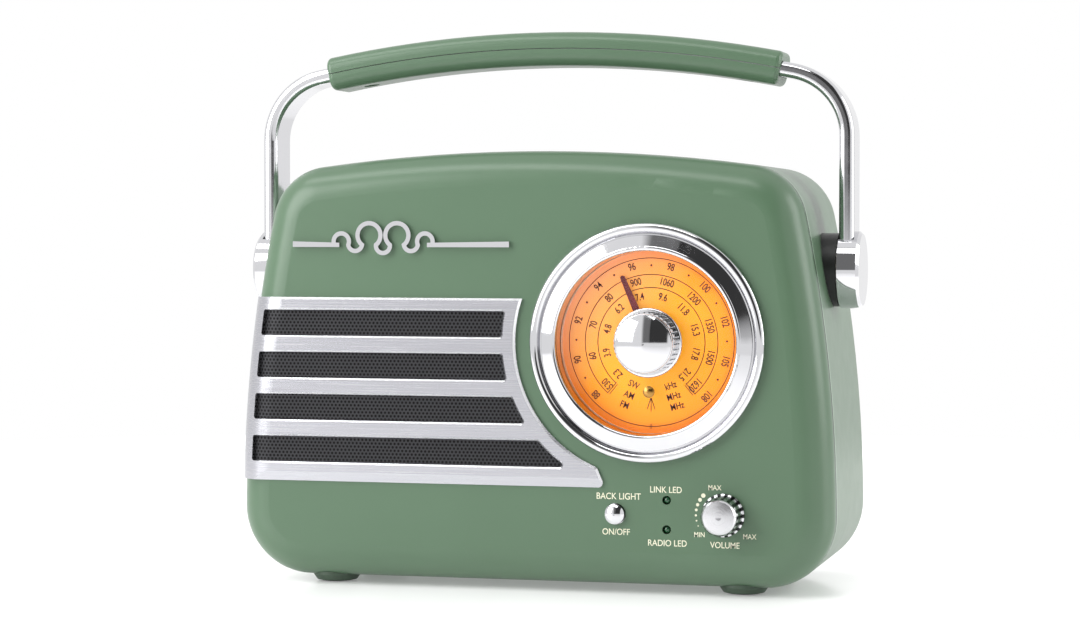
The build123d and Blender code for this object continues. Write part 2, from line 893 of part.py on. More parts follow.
board_back = board_depth + board_thickness
with BuildPart() as board_components:
    with BuildSketch(front_plane(board_back)):
        with Locations((dial_x - 12, dial_z + 6)):
            Rectangle(12, 12)
        with Locations((dial_x + 16, dial_z - 10)):
            Rectangle(9, 7)
        with Locations((dial_x - 20, dial_z - 24)):
            Rectangle(10, 5)
    extrude(amount=-1.6)
    with BuildSketch(front_plane(board_back)):
        with Locations((dial_x + 22, dial_z + 18), (dial_x + 30, dial_z - 26), (dial_x + 6, dial_z - 34)):
            Circle(4)
    extrude(amount=-11)
    with BuildSketch(front_plane(board_back)):
        with Locations((dial_x - 34, dial_z - 4), (dial_x - 34, dial_z + 10)):
            Rectangle(7, 7)
    extrude(amount=-7.5)
board_components.part.label = "board_components"
export_step(board_components.part, "parts/board_components.step")

rod_r = 4.5
rod_left = dial_x - 62
rod_right = dial_x + 36
rod_z = 148.0
rod_depth = board_back + 7

with BuildPart() as ferrite_rod:
    with BuildSketch(side_plane(rod_left)):
        with Locations((front_y + rod_depth, rod_z)):
            Circle(rod_r)
    extrude(amount=rod_right - rod_left)
ferrite_rod.part.label = "ferrite_rod"
export_step(ferrite_rod.part, "parts/ferrite_rod.step")

with BuildPart() as aerial_coil:
    with BuildSketch(side_plane(dial_x - 18)):
        with Locations((front_y + rod_depth, rod_z)):
            Circle(rod_r + 1.4)
            Circle(rod_r, mode=Mode.SUBTRACT)
    extrude(amount=30)
aerial_coil.part.label = "aerial_coil"
export_step(aerial_coil.part, "parts/aerial_coil.step")

with BuildPart() as ferrite_clips:
    for clip_x in (dial_x - 40, dial_x + 26):
        with BuildSketch(side_plane(clip_x)):
            with Locations((front_y + rod_depth, rod_z)):
                Circle(rod_r + 1.6)
                Circle(rod_r, mode=Mode.SUBTRACT)
            with Locations((front_y + board_back, rod_z - 14)):
                Rectangle(3.2, 12, align=(Align.MIN, Align.MIN))
            with Locations((front_y + rod_depth, rod_z)):
                Circle(rod_r, mode=Mode.SUBTRACT)
        extrude(amount=5)
ferrite_clips.part.label = "ferrite_clips"
export_step(ferrite_clips.part, "parts/ferrite_clips.step")

# ---------------------------------------------------------------- the control row

with BuildPart() as control_board:
    with BuildSketch(front_plane(control_depth)):
        with Locations(((button_x - 11 + volume_x + 15) / 2, volume_z)):
            Rectangle(volume_x - button_x + 26, 23)
    extrude(amount=-control_thickness)
control_board.part.label = "control_board"
export_step(control_board.part, "parts/control_board.step")

volume_teeth = 18
with BuildPart() as volume_knob:
    with BuildSketch(turning_plane(volume_x, volume_z)):
        with BuildLine():
            Polyline(
                (0, -0.5),
                (volume_r, -0.5),
                (volume_r, -1.5),
                (volume_r - 0.6, -1.9),
                (volume_r - 1.1, -8.7),
                (volume_r - 1.7, -9.9),
            )
            Line((volume_r - 1.7, -9.9), (volume_r - 2.2, 0.4 - volume_reach))
            ThreePointArc(
                (volume_r - 2.2, 0.4 - volume_reach),
                dome_point(volume_r - 2.2, 0.4 - volume_reach, 0.4),
                (0, -volume_reach),
            )
            Line((0, -volume_reach), (0, -0.5))
        make_face()
    revolve(axis=turning_axis(volume_x, volume_z))
    with BuildSketch(front_plane(-12)):
        with Locations((volume_x, volume_z)):
            with PolarLocations(volume_r - 0.2, volume_teeth):
                Circle(0.7)
    extrude(amount=-9.6, mode=Mode.SUBTRACT)
    with BuildSketch(front_plane(1)):
        with Locations((volume_x, volume_z)):
            Circle(shaft_r)
    extrude(amount=9, mode=Mode.SUBTRACT)
volume_knob.part.label = "volume_knob"
export_step(volume_knob.part, "parts/volume_knob.step")

bushing_depth = wall + 0.5
with BuildPart() as volume_shaft:
    with BuildSketch(front_plane(-8)):
        with Locations((volume_x, volume_z)):
            Circle(shaft_r)
    extrude(amount=-(8 + bushing_depth + 8))
volume_shaft.part.label = "volume_shaft"
export_step(volume_shaft.part, "parts/volume_shaft.step")

with BuildPart() as volume_control:
    with BuildSketch(front_plane(control_depth)):
        with Locations((volume_x, volume_z)):
            Circle(8.4)
    extrude(amount=7)
    with BuildSketch(front_plane(control_depth - 7)):
        with Locations((volume_x, volume_z)):
            Circle(4.6)
    extrude(amount=control_depth - 7 - bushing_depth)
    with BuildSketch(front_plane(bushing_depth - 1)):
        with Locations((volume_x, volume_z)):
            Circle(shaft_r + shaft_gap)
    extrude(amount=-10, mode=Mode.SUBTRACT)
volume_control.part.label = "volume_control"
export_step(volume_control.part, "parts/volume_control.step")

flange_depth = wall + 0.3
stem_end = 9.0
button_rise = 1.5
with BuildPart() as backlight_button:
    with BuildSketch(turning_plane(button_x, button_z)):
        with BuildLine():
            Line((0, flange_depth + 1), (button_r + 1, flange_depth + 1))
            Line((button_r + 1, flange_depth + 1), (button_r + 1, flange_depth))
            Line((button_r + 1, flange_depth), (button_r, flange_depth))
            Line((button_r, flange_depth), (button_r, -1.6))
            ThreePointArc(
                (button_r, -1.6), dome_point(button_r, -1.6, button_rise), (0, -1.6 - button_rise)
            )
            Line((0, -1.6 - button_rise), (0, flange_depth + 1))
        make_face()
    revolve(axis=turning_axis(button_x, button_z))
    with BuildSketch(front_plane(flange_depth)):
        with Locations((button_x, button_z)):
            Circle(1.5)
    extrude(amount=-(stem_end - flange_depth))
backlight_button.part.label = "backlight_button"
export_step(backlight_button.part, "parts/backlight_button.step")

with BuildPart() as button_switch:
    with BuildSketch(front_plane(control_depth)):
        with Locations((button_x, button_z)):
            Rectangle(7, 7)
    extrude(amount=4)
    with BuildSketch(front_plane(control_depth)):
        with Locations((button_x, button_z)):
            Circle(1.6)
    extrude(amount=control_depth - stem_end - button_travel - 0.1)
button_switch.part.label = "button_switch"
export_step(button_switch.part, "parts/button_switch.step")

with BuildPart() as status_lights:
    for light_z in light_heights:
        with BuildSketch(turning_plane(lights_x, light_z)):
            with BuildLine():
                Line((0, control_depth), (2.2, control_depth))
                Line((2.2, control_depth), (2.2, 7.0))
                Line((2.2, 7.0), (light_r, 7.0))
                Line((light_r, 7.0), (light_r, 1.8))
                ThreePointArc(
                    (light_r, 1.8), dome_point(light_r, 1.8, 1.4), (0, 0.4)
                )
                Line((0, 0.4), (0, control_depth))
            make_face()
        revolve(axis=turning_axis(lights_x, light_z))
status_lights.part.label = "status_lights"
export_step(status_lights.part, "parts/status_lights.step")

# ---------------------------------------------------------------- the speaker

baffle_left = -(half_width(speaker_z + speaker_r + 2) - front_round - 1.5)
baffle_right = speaker_x + speaker_r + 8
baffle_back = wall + baffle_thickness
cone_r = speaker_r - 7.5
magnet_r = 19.0
magnet_height = 9.0
basket_back = baffle_back + speaker_height - magnet_height
speaker_screw_ring = speaker_r - 2.9

with BuildPart() as speaker_baffle:
    with BuildSketch(front_plane(wall)):
        with BuildLine():
            Polyline(
                (baffle_left, speaker_z - speaker_r - 2),
                (baffle_right, speaker_z - speaker_r - 2),
                (baffle_right, speaker_z + speaker_r + 2),
                (baffle_left, speaker_z + speaker_r + 2),
                close=True,
            )
        make_face()
        with Locations((speaker_x, speaker_z)):
            Circle(cone_r + 2, mode=Mode.SUBTRACT)
    extrude(amount=-baffle_thickness)
    with BuildSketch(front_plane(wall)):
        with Locations((speaker_x, speaker_z)):
            with PolarLocations(speaker_screw_ring, 4, start_angle=45):
                Circle(1.4)
    extrude(amount=-baffle_thickness, mode=Mode.SUBTRACT)
speaker_baffle.part.label = "speaker_baffle"
export_step(speaker_baffle.part, "parts/speaker_baffle.step")

with BuildPart() as speaker_basket:
    with BuildSketch(turning_plane(speaker_x, speaker_z)):
        with BuildLine():
            Polyline(
                (speaker_r, baffle_back),
                (speaker_r, baffle_back + 1.2),
                (cone_r + 2.2, baffle_back + 1.2),
                (magnet_r - 1, basket_back),
                (9.5, basket_back),
                (9.5, basket_back - 1.2),
                (magnet_r - 2, basket_back - 1.2),
                (cone_r + 1.4, baffle_back + 1.0),
                (cone_r + 1.4, baffle_back),
                close=True,
            )
        make_face()
    revolve(axis=turning_axis(speaker_x, speaker_z))
    with BuildSketch(front_plane(baffle_back - 1)):
        with Locations((speaker_x, speaker_z)):
            with PolarLocations(speaker_screw_ring, 4, start_angle=45):
                Circle(1.7)
    extrude(amount=-4, mode=Mode.SUBTRACT)
    # Windows in the basket's sides.
    with BuildSketch(front_plane(baffle_back + 2.5)):
        with Locations((speaker_x, speaker_z)):
            with PolarLocations(0.5 * (cone_r + magnet_r) + 1.5, 6):
                RectangleRounded(8, 15, 2)
    extrude(amount=-(basket_back - baffle_back), mode=Mode.SUBTRACT)
speaker_basket.part.label = "speaker_basket"
export_step(speaker_basket.part, "parts/speaker_basket.step")

with BuildPart() as speaker_magnet:
    with BuildSketch(front_plane(basket_back)):
        with Locations((speaker_x, speaker_z)):
            Circle(magnet_r)
            Circle(9.5, mode=Mode.SUBTRACT)
    extrude(amount=-(magnet_height - 2))
    with BuildSketch(front_plane(basket_back + magnet_height - 2)):
        with Locations((speaker_x, speaker_z)):
            Circle(magnet_r - 1.5)
    extrude(amount=-2)
speaker_magnet.part.label = "speaker_magnet"
export_step(speaker_magnet.part, "parts/speaker_magnet.step")

cone_front = baffle_back + 0.4
cone_back = baffle_back + 12
cone_wall = 0.7
coil_r = 8.0
with BuildPart() as speaker_cone:
    with BuildSketch(turning_plane(speaker_x, speaker_z)):
        with BuildLine():
            Polyline(
                (cone_r - 3, cone_front + 0.4),
                (cone_r - 3, cone_front + 0.4 + cone_wall),
                (coil_r + cone_wall, cone_back + cone_wall),
                (coil_r + cone_wall, basket_back + 3),
                (coil_r, basket_back + 3),
                (coil_r, cone_back),
                close=True,
            )
        make_face()
    revolve(axis=turning_axis(speaker_x, speaker_z))
speaker_cone.part.label = "speaker_cone"
export_step(speaker_cone.part, "parts/speaker_cone.step")

with BuildPart() as speaker_surround:
    with BuildSketch(turning_plane(speaker_x, speaker_z)):
        with BuildLine():
            Line((cone_r + 1.2, cone_front), (cone_r, cone_front))
            ThreePointArc(
                (cone_r, cone_front),
                (cone_r - 1.5, cone_front - 1.5),
                (cone_r - 3, cone_front),
            )
            Line((cone_r - 3, cone_front), (cone_r - 3, cone_front + 0.4))
            Line((cone_r - 3, cone_front + 0.4), (cone_r - 2.4, cone_front + 0.4))
            ThreePointArc(
                (cone_r - 2.4, cone_front + 0.4),
                (cone_r - 1.5, cone_front - 0.9),
                (cone_r - 0.6, cone_front + 0.4),
            )
            Line((cone_r - 0.6, cone_front + 0.4), (cone_r + 1.2, cone_front + 0.4))
            Line((cone_r + 1.2, cone_front + 0.4), (cone_r + 1.2, cone_front))
        make_face()
    revolve(axis=turning_axis(speaker_x, speaker_z))
speaker_surround.part.label = "speaker_surround"
export_step(speaker_surround.part, "parts/speaker_surround.step")

with BuildPart() as speaker_dust_cap:
    with BuildSketch(turning_plane(speaker_x, speaker_z)):
        with BuildLine():
            Line((0, cone_back), (coil_r, cone_back))
            ThreePointArc(
                (coil_r, cone_back), dome_point(coil_r, cone_back, 3), (0, cone_back - 3)
            )
            Line((0, cone_back - 3), (0, cone_back))
        make_face()
    revolve(axis=turning_axis(speaker_x, speaker_z))
speaker_dust_cap.part.label = "speaker_dust_cap"
export_step(speaker_dust_cap.part, "parts/speaker_dust_cap.step")

with BuildPart() as speaker_screws:
    for screw_depth, screw_r, screw_length in (
        (baffle_back + 1.2, 2.3, 1.6),
        (wall + 0.1, 1.4, baffle_thickness + 1.1),
    ):
        with BuildSketch(front_plane(screw_depth)):
            with Locations((speaker_x, speaker_z)):
                with PolarLocations(speaker_screw_ring, 4, start_angle=45):
                    Circle(screw_r)
        extrude(amount=-screw_length)
speaker_screws.part.label = "speaker_screws"
export_step(speaker_screws.part, "parts/speaker_screws.step")

# ---------------------------------------------------------------- battery

cell_r = 9.1
cell_length = 65.0
cell_z = door_z + door_height / 2
cell_depth = body_depth - (bay_depth - bay_wall) + cell_r + 0.6
with BuildPart() as battery_cell:
    with BuildSketch(side_plane(-cell_length / 2)):
        with Locations((front_y + cell_depth, cell_z)):
            Circle(cell_r)
    extrude(amount=cell_length - 1)
    with BuildSketch(side_plane(cell_length / 2 - 1)):
        with Locations((front_y + cell_depth, cell_z)):
            Circle(3)
    extrude(amount=1)
battery_cell.part.label = "battery_cell"
export_step(battery_cell.part, "parts/battery_cell.step")

with BuildPart() as battery_contacts:
    with BuildSketch(side_plane(cell_length / 2)):
        with Locations((front_y + cell_depth, cell_z)):
            Rectangle(12, 14)
    extrude(amount=0.6)
    with BuildSketch(side_plane(cell_length / 2 + 0.6)):
        with Locations((front_y + cell_depth, cell_z)):
            Rectangle(5, 7)
    extrude(amount=bay_half - cell_length / 2 - 0.6)
    mirror(about=Plane.YZ)
battery_contacts.part.label = "battery_contacts"
export_step(battery_contacts.part, "parts/battery_contacts.step")

door_top = door_z + door_height - door_gap
with BuildPart() as battery_door:
    with BuildSketch(side_plane(-(bay_half - door_gap))):
        with BuildLine():
            Line((back_y, door_axis_z), (back_y, door_top))
            Line((back_y, door_top), (back_y - door_thickness, door_top))
            Line((back_y - door_thickness, door_top), (back_y - door_thickness, door_axis_z))
            ThreePointArc(
                (back_y - door_thickness, door_axis_z),
                (door_axis_y, door_axis_z - door_thickness / 2 + 0.01),
                (back_y, door_axis_z),
            )
        make_face()
    extrude(amount=2 * (bay_half - door_gap))
    # Ribs to grip, then the two hinge pins.
    with BuildSketch(back_plane(0)):
        with Locations((0, door_top - 6)):
            with GridLocations(0, 1.8, 1, 4):
                Rectangle(22, 0.8)
    extrude(amount=0.5, mode=Mode.SUBTRACT)
    with BuildSketch(side_plane(-(bay_half + 1.3))):
        with Locations((door_axis_y, door_axis_z)):
            Circle(hinge_pin_r)
    extrude(amount=2 * (bay_half + 1.3))
battery_door.part.label = "battery_door"
export_step(battery_door.part, "parts/battery_door.step")

# ---------------------------------------------------------------- the connector panel

panel_floor = body_depth - panel_depth
panel_inner = panel_floor - liner
with BuildPart() as band_switch:
    with BuildSketch(front_plane(panel_inner)):
        with Locations((switch_x, panel_z)):
            Rectangle(24, 8)
    extrude(amount=7)
band_switch.part.label = "band_switch"
export_step(band_switch.part, "parts/band_switch.step")

with BuildPart() as band_switch_knob:
    with BuildSketch(front_plane(panel_inner + 0.2)):
        with Locations((switch_x, panel_z)):
            Rectangle(3.4, 2.8)
    extrude(amount=-(liner + 0.2))
    with BuildSketch(front_plane(panel_floor + 0.2)):
        with Locations((switch_x, panel_z)):
            RectangleRounded(6, 5.6, 0.6)
    extrude(amount=-2.2)
    with BuildSketch(back_plane(0)):
        with Locations((switch_x, panel_z)):
            with GridLocations(1.4, 0, 3, 1):
                Rectangle(0.6, 4.4)
    extrude(amount=0.9, mode=Mode.SUBTRACT)
band_switch_knob.part.label = "band_switch_knob"
export_step(band_switch_knob.part, "parts/band_switch_knob.step")

with BuildPart() as charging_socket:
    with BuildSketch(front_plane(panel_floor)):
        with Locations((socket_x, panel_z)):
            RectangleRounded(9.0, 3.3, 1.4)
            RectangleRounded(8.2, 2.6, 1.1, mode=Mode.SUBTRACT)
    extrude(amount=6.5)
    with BuildSketch(front_plane(panel_floor - 6.5)):
        with Locations((socket_x, panel_z)):
            RectangleRounded(9.0, 3.3, 1.4)
    extrude(amount=0.8)
    with BuildSketch(front_plane(panel_floor - 0.8)):
        with Locations((socket_x, panel_z)):
            Rectangle(6.4, 0.7)
    extrude(amount=5.8)
charging_socket.part.label = "charging_socket"
export_step(charging_socket.part, "parts/charging_socket.step")

jack_length = 14.0
with BuildPart() as aux_jack:
    with BuildSketch(front_plane(panel_floor)):
        with Locations((jack_x, panel_z)):
            Circle(3.0)
    extrude(amount=liner)
    with BuildSketch(front_plane(panel_inner)):
        with Locations((jack_x, panel_z)):
            Rectangle(8, 8)
    extrude(amount=jack_length - liner + 1)
    with BuildSketch(front_plane(panel_floor)):
        with Locations((jack_x, panel_z)):
            Circle(jack_r)
    extrude(amount=jack_length, mode=Mode.SUBTRACT)
aux_jack.part.label = "aux_jack"
export_step(aux_jack.part, "parts/aux_jack.step")

# ---------------------------------------------------------------- the telescopic aerial

knuckle_r = 4.5
knuckle_length = 8.6
knuckle_y = aerial_y - 0.6
pivot_screw_r = 1.6
mast_start = aerial_x - knuckle_r - 1

with BuildPart() as aerial_knuckle:
    with BuildSketch(Plane.XZ.offset(-(knuckle_y + knuckle_length / 2))):
        with Locations((aerial_x, aerial_z)):
            Circle(knuckle_r)
    extrude(amount=knuckle_length)
    with BuildSketch(side_plane(aerial_x - 1)):
        with Locations((aerial_y, aerial_z)):
            Circle(mast_r + 0.6)
    extrude(amount=-(knuckle_r + 4))
    with BuildSketch(Plane.XZ.offset(-(back_y + 1))):
        with Locations((aerial_x, aerial_z)):
            Circle(pivot_screw_r + shaft_gap)
    extrude(amount=recess_depth + 2, mode=Mode.SUBTRACT)
    with BuildSketch(side_plane(mast_start - 6)):
        with Locations((aerial_y, aerial_z)):
            Circle(mast_r)
    extrude(amount=6, mode=Mode.SUBTRACT)
aerial_knuckle.part.label = "aerial_knuckle"
export_step(aerial_knuckle.part, "parts/aerial_knuckle.step")

with BuildPart() as aerial_screw:
    with BuildSketch(back_plane(recess_depth + liner)):
        with Locations((aerial_x, aerial_z)):
            Circle(pivot_screw_r)
    extrude(amount=-(recess_depth + liner - 1.2))
    with BuildSketch(Plane.XZ.offset(-(knuckle_y + knuckle_length / 2 + 0.1))):
        with Locations((aerial_x, aerial_z)):
            Circle(3.2)
    extrude(amount=-(back_y - 0.2 - knuckle_y - knuckle_length / 2 - 0.1))
aerial_screw.part.label = "aerial_screw"
export_step(aerial_screw.part, "parts/aerial_screw.step")

# Three tubes and a solid tip section, each a running fit inside the one before.
section_names = ("aerial_tube_1", "aerial_tube_2", "aerial_tube_3", "aerial_tip_section")
for row, section_name in enumerate(section_names):
    outer_r = mast_r - row * (mast_step + mast_gap)
    inner_r = outer_r - mast_step
    start = mast_start - 3 * row
    end = mast_start - mast_length - 3 * row
    last = row == len(section_names) - 1
    with BuildPart() as section:
        with BuildSketch(side_plane(end)):
            with Locations((aerial_y, aerial_z)):
                Circle(outer_r)
                if not last:
                    Circle(inner_r, mode=Mode.SUBTRACT)
        extrude(amount=start - end)
        if last:
            with BuildSketch(side_plane(end)):
                with Locations((aerial_y, aerial_z)):
                    Circle(mast_r)
            extrude(amount=-6)
            fillet(section.edges().sort_by(Axis.X)[0], 1.2)
    section.part.label = section_name
    export_step(section.part, f"parts/{section_name}.step")

# ---------------------------------------------------------------- the handle

arm_half = arm_thickness / 2
arm_inner = arm_x - arm_half
arm_outer = arm_x + arm_half
arch_z = grip_top - grip_height / 2 - grip_arch_r
bend_x = arm_x - bend_r
bend_z = arch_z + sqrt((grip_arch_r - bend_r) ** 2 - bend_x**2)
bend_angle = degrees(acos(bend_x / (grip_arch_r - bend_r)))
washer_thickness = 0.4
washer_gap = 0.05
washer_x = arm_inner - washer_gap - washer_thickness
eye_r = 12.5

with BuildPart() as pivot_spacers:
    with BuildSketch(side_plane(washer_x)):
        with Locations((hub_y, hub_z)):
            Circle(hub_r - 0.7)
            Circle(bolt_r, mode=Mode.SUBTRACT)
    extrude(amount=-20)
    add(rear_solid, mode=Mode.SUBTRACT)
    mirror(about=Plane.YZ)
pivot_spacers.part.label = "pivot_spacers"
export_step(pivot_spacers.part, "parts/pivot_spacers.step")

with BuildPart() as friction_washers:
    with BuildSketch(side_plane(washer_x)):
        with Locations((hub_y, hub_z)):
            Circle(eye_r - 0.5)
            Circle(bolt_r, mode=Mode.SUBTRACT)
    extrude(amount=washer_thickness)
    mirror(about=Plane.YZ)
friction_washers.part.label = "friction_washers"
export_step(friction_washers.part, "parts/friction_washers.step")

bolt_head_gap = 0.2
bolt_head_r = 7.0
bolt_head_height = 1.2
nut_x = pivot_boss_x - 3
with BuildPart() as pivot_bolts:
    with BuildSketch(side_plane(nut_x - 1)):
        with Locations((hub_y, hub_z)):
            Circle(bolt_r)
    extrude(amount=arm_outer + bolt_head_gap - nut_x + 1)
    with BuildSketch(side_plane(arm_outer + bolt_head_gap)):
        with Locations((hub_y, hub_z)):
            Circle(bolt_head_r)
    extrude(amount=bolt_head_height)
    with BuildSketch(side_plane(nut_x)):
        with Locations((hub_y, hub_z)):
            RegularPolygon(6.5, 6)
    extrude(amount=3)
    mirror(about=Plane.YZ)
pivot_bolts.part.label = "pivot_bolts"
export_step(pivot_bolts.part, "parts/pivot_bolts.step")

with BuildPart() as pivot_caps:
    with BuildSketch(side_plane(arm_inner + 0.1)):
        with Locations((hub_y, hub_z)):
            Circle(hub_r)
    extrude(amount=hub_reach - arm_inner - 0.1)
    chamfer(pivot_caps.faces().sort_by(Axis.X)[-1].edges(), 1.1)
    with BuildSketch(side_plane(arm_inner)):
        with Locations((hub_y, hub_z)):
            Circle(eye_r)
        with Locations((hub_y, hub_z)):
            Rectangle(arm_depth + 0.2, 2 * hub_r, align=(Align.CENTER, Align.MIN))
    extrude(amount=arm_thickness, mode=Mode.SUBTRACT)
    with BuildSketch(side_plane(arm_outer - 0.1)):
        with Locations((hub_y, hub_z)):
            Circle(bolt_head_r + 1)
    extrude(amount=bolt_head_height + bolt_head_gap + 0.3, mode=Mode.SUBTRACT)
    mirror(about=Plane.YZ)
pivot_caps.part.label = "pivot_caps"
export_step(pivot_caps.part, "parts/pivot_caps.step")


def radial_plane(angle):
    """A plane across the handle's arch, facing outwards, at an angle from the top."""
    return Plane(
        origin=(0, hub_y, arch_z),
        x_dir=(0, 1, 0),
        z_dir=(sin(radians(angle)), 0, cos(radians(angle))),
    )


def arch_section_plane(angle):
    """A plane through the arch's axis, for sections in (depth, radius)."""
    return Plane(
        origin=(0, hub_y, arch_z),
        x_dir=(0, 1, 0),
        z_dir=(cos(radians(angle)), 0, -sin(radians(angle))),
    )


arch_axis = Axis((0, hub_y, arch_z), (0, 1, 0))
grip_angle = degrees(asin(grip_half / grip_arch_r))
screw_angle = degrees(asin(grip_screw_x / grip_arch_r))
grip_screw_r = 1.5

with BuildPart() as handle_bail:
    with BuildSketch(Plane.XZ.offset(-hub_y)):
        with BuildLine():
            for rim in (-arm_half, arm_half):
                Line((arm_x + rim, hub_z), (arm_x + rim, bend_z))
                CenterArc((bend_x, bend_z), bend_r + rim, 0, bend_angle)
                CenterArc((0, arch_z), grip_arch_r + rim, bend_angle, 180 - 2 * bend_angle)
                CenterArc((-bend_x, bend_z), bend_r + rim, 180 - bend_angle, bend_angle)
                Line((-arm_x - rim, hub_z), (-arm_x - rim, bend_z))
            Line((arm_inner, hub_z), (arm_outer, hub_z))
            Line((-arm_inner, hub_z), (-arm_outer, hub_z))
        make_face()
    extrude(amount=arm_depth / 2, both=True)
    for end in (0, -1):
        fillet(handle_bail.faces().sort_by(Axis.Y)[end].edges(), arm_round)
    for side_x in (arm_inner, -arm_outer):
        with BuildSketch(side_plane(side_x)):
            with Locations((hub_y, hub_z)):
                Circle(eye_r)
        extrude(amount=arm_thickness)
    with BuildSketch(side_plane(0)):
        with Locations((hub_y, hub_z)):
            Circle(bolt_r + shaft_gap)
    extrude(amount=body_width, both=True, mode=Mode.SUBTRACT)
    for angle in (-screw_angle, screw_angle):
        with BuildSketch(radial_plane(angle).offset(grip_arch_r - arm_half - 1)):
            Circle(grip_screw_r + 0.4)
        extrude(amount=arm_thickness + 2, mode=Mode.SUBTRACT)
handle_bail.part.label = "handle_bail"
export_step(handle_bail.part, "parts/handle_bail.step")

# The grip is one rounded bar, then two halves that meet along its middle.
with BuildPart() as grip_bar:
    with BuildSketch(arch_section_plane(-grip_angle)):
        with Locations((0, grip_arch_r)):
            RectangleRounded(grip_depth, grip_height, 5.0)
    revolve(axis=arch_axis, revolution_arc=2 * grip_angle)
    fillet(grip_bar.faces().sort_by(Axis.X)[0].edges(), 2.0)
    fillet(grip_bar.faces().sort_by(Axis.X)[-1].edges(), 2.0)

with BuildPart() as grip_channel:
    with BuildSketch(arch_section_plane(-grip_angle - 1)):
        with Locations((0, grip_arch_r)):
            Rectangle(arm_depth + 0.2, arm_thickness + 0.2)
    revolve(axis=arch_axis, revolution_arc=2 * grip_angle + 2)


def grip_half_space(low, high):
    """The part of the arch between two distances from its middle line."""
    with BuildPart() as space:
        with BuildSketch(arch_section_plane(-grip_angle - 1)):
            with Locations((0, grip_arch_r + low)):
                Rectangle(grip_depth + 4, high - low, align=(Align.CENTER, Align.MIN))
        revolve(axis=arch_axis, revolution_arc=2 * grip_angle + 2)
    return space.part


upper_space = grip_half_space(grip_seam / 2, grip_height)
lower_space = grip_half_space(-grip_height, -grip_seam / 2)

with BuildPart() as grip_upper:
    add(grip_bar.part)
    add(upper_space, mode=Mode.INTERSECT)
    add(grip_channel.part, mode=Mode.SUBTRACT)
    for angle in (-screw_angle, screw_angle):
        with BuildSketch(radial_plane(angle).offset(grip_arch_r)):
            Circle(grip_screw_r)
        extrude(amount=5, mode=Mode.SUBTRACT)
grip_upper.part.label = "grip_upper"
export_step(grip_upper.part, "parts/grip_upper.step")

screw_recess = 1.6
grip_screw_head_r = 2.8
with BuildPart() as grip_lower:
    add(grip_bar.part)
    add(lower_space, mode=Mode.INTERSECT)
    add(grip_channel.part, mode=Mode.SUBTRACT)
    for angle in (-screw_angle, screw_angle):
        with BuildSketch(radial_plane(angle).offset(grip_arch_r)):
            Circle(grip_screw_r + 0.3)
        extrude(amount=-grip_height, mode=Mode.SUBTRACT)
        with BuildSketch(radial_plane(angle).offset(grip_arch_r - grip_height / 2 + 3)):
            Circle(grip_screw_head_r + 0.4)
        extrude(amount=-6, mode=Mode.SUBTRACT)
grip_lower.part.label = "grip_lower"
export_step(grip_lower.part, "parts/grip_lower.step")

with BuildPart() as grip_screws:
    for angle in (-screw_angle, screw_angle):
        with BuildSketch(radial_plane(angle).offset(grip_arch_r - grip_height / 2 + 3)):
            Circle(grip_screw_head_r)
        extrude(amount=-(3 - screw_recess))
        with BuildSketch(radial_plane(angle).offset(grip_arch_r - grip_height / 2 + 2.9)):
            Circle(grip_screw_r)
        extrude(amount=grip_height / 2 + 1.8)
grip_screws.part.label = "grip_screws"
export_step(grip_screws.part, "parts/grip_screws.step")
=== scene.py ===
from math import cos, pi, radians, sin

import bmesh
import bpy
from mathutils import Matrix, Vector


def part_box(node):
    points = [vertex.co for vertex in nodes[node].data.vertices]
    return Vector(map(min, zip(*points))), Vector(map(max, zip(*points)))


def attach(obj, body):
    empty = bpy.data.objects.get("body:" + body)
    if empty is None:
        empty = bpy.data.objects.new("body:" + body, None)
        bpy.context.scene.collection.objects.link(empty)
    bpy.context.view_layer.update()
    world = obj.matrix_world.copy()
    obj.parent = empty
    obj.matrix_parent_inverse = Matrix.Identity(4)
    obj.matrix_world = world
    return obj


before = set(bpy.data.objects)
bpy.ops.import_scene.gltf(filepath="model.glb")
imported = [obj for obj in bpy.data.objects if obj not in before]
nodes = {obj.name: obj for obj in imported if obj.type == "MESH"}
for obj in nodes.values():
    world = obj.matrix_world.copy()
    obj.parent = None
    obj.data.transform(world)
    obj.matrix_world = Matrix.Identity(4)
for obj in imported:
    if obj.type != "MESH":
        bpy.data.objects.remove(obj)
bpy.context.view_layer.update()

MM = 0.001


def centre(node):
    low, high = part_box(node)
    return (Vector(low) + Vector(high)) / 2


FRONT_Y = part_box("front_shell")[0][1]
DIAL = centre("dial_bezel")
KNOB = centre("volume_knob")
BUTTON = centre("backlight_button")
LIGHTS = centre("status_lights")
LIGHT_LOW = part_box("status_lights")[0][2] + 2.2 * MM
LIGHT_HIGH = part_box("status_lights")[1][2] - 2.2 * MM
PANEL = centre("aux_jack")

# The rear shell's lap reaches this far forward of the seam.
LAP = 3.0 * MM
SEAM_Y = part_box("rear_shell")[0][1] + LAP
SEAM_GAP = 1.8 * MM
SEAM_SOFT = 0.2 * MM

MESH_PITCH = 1.55 * MM
ROW_SHARE = 0.866
KNOB_TEETH = 18
TOOTH_ROOT = 6.6 * MM
DIAL_REACH = 35 * MM

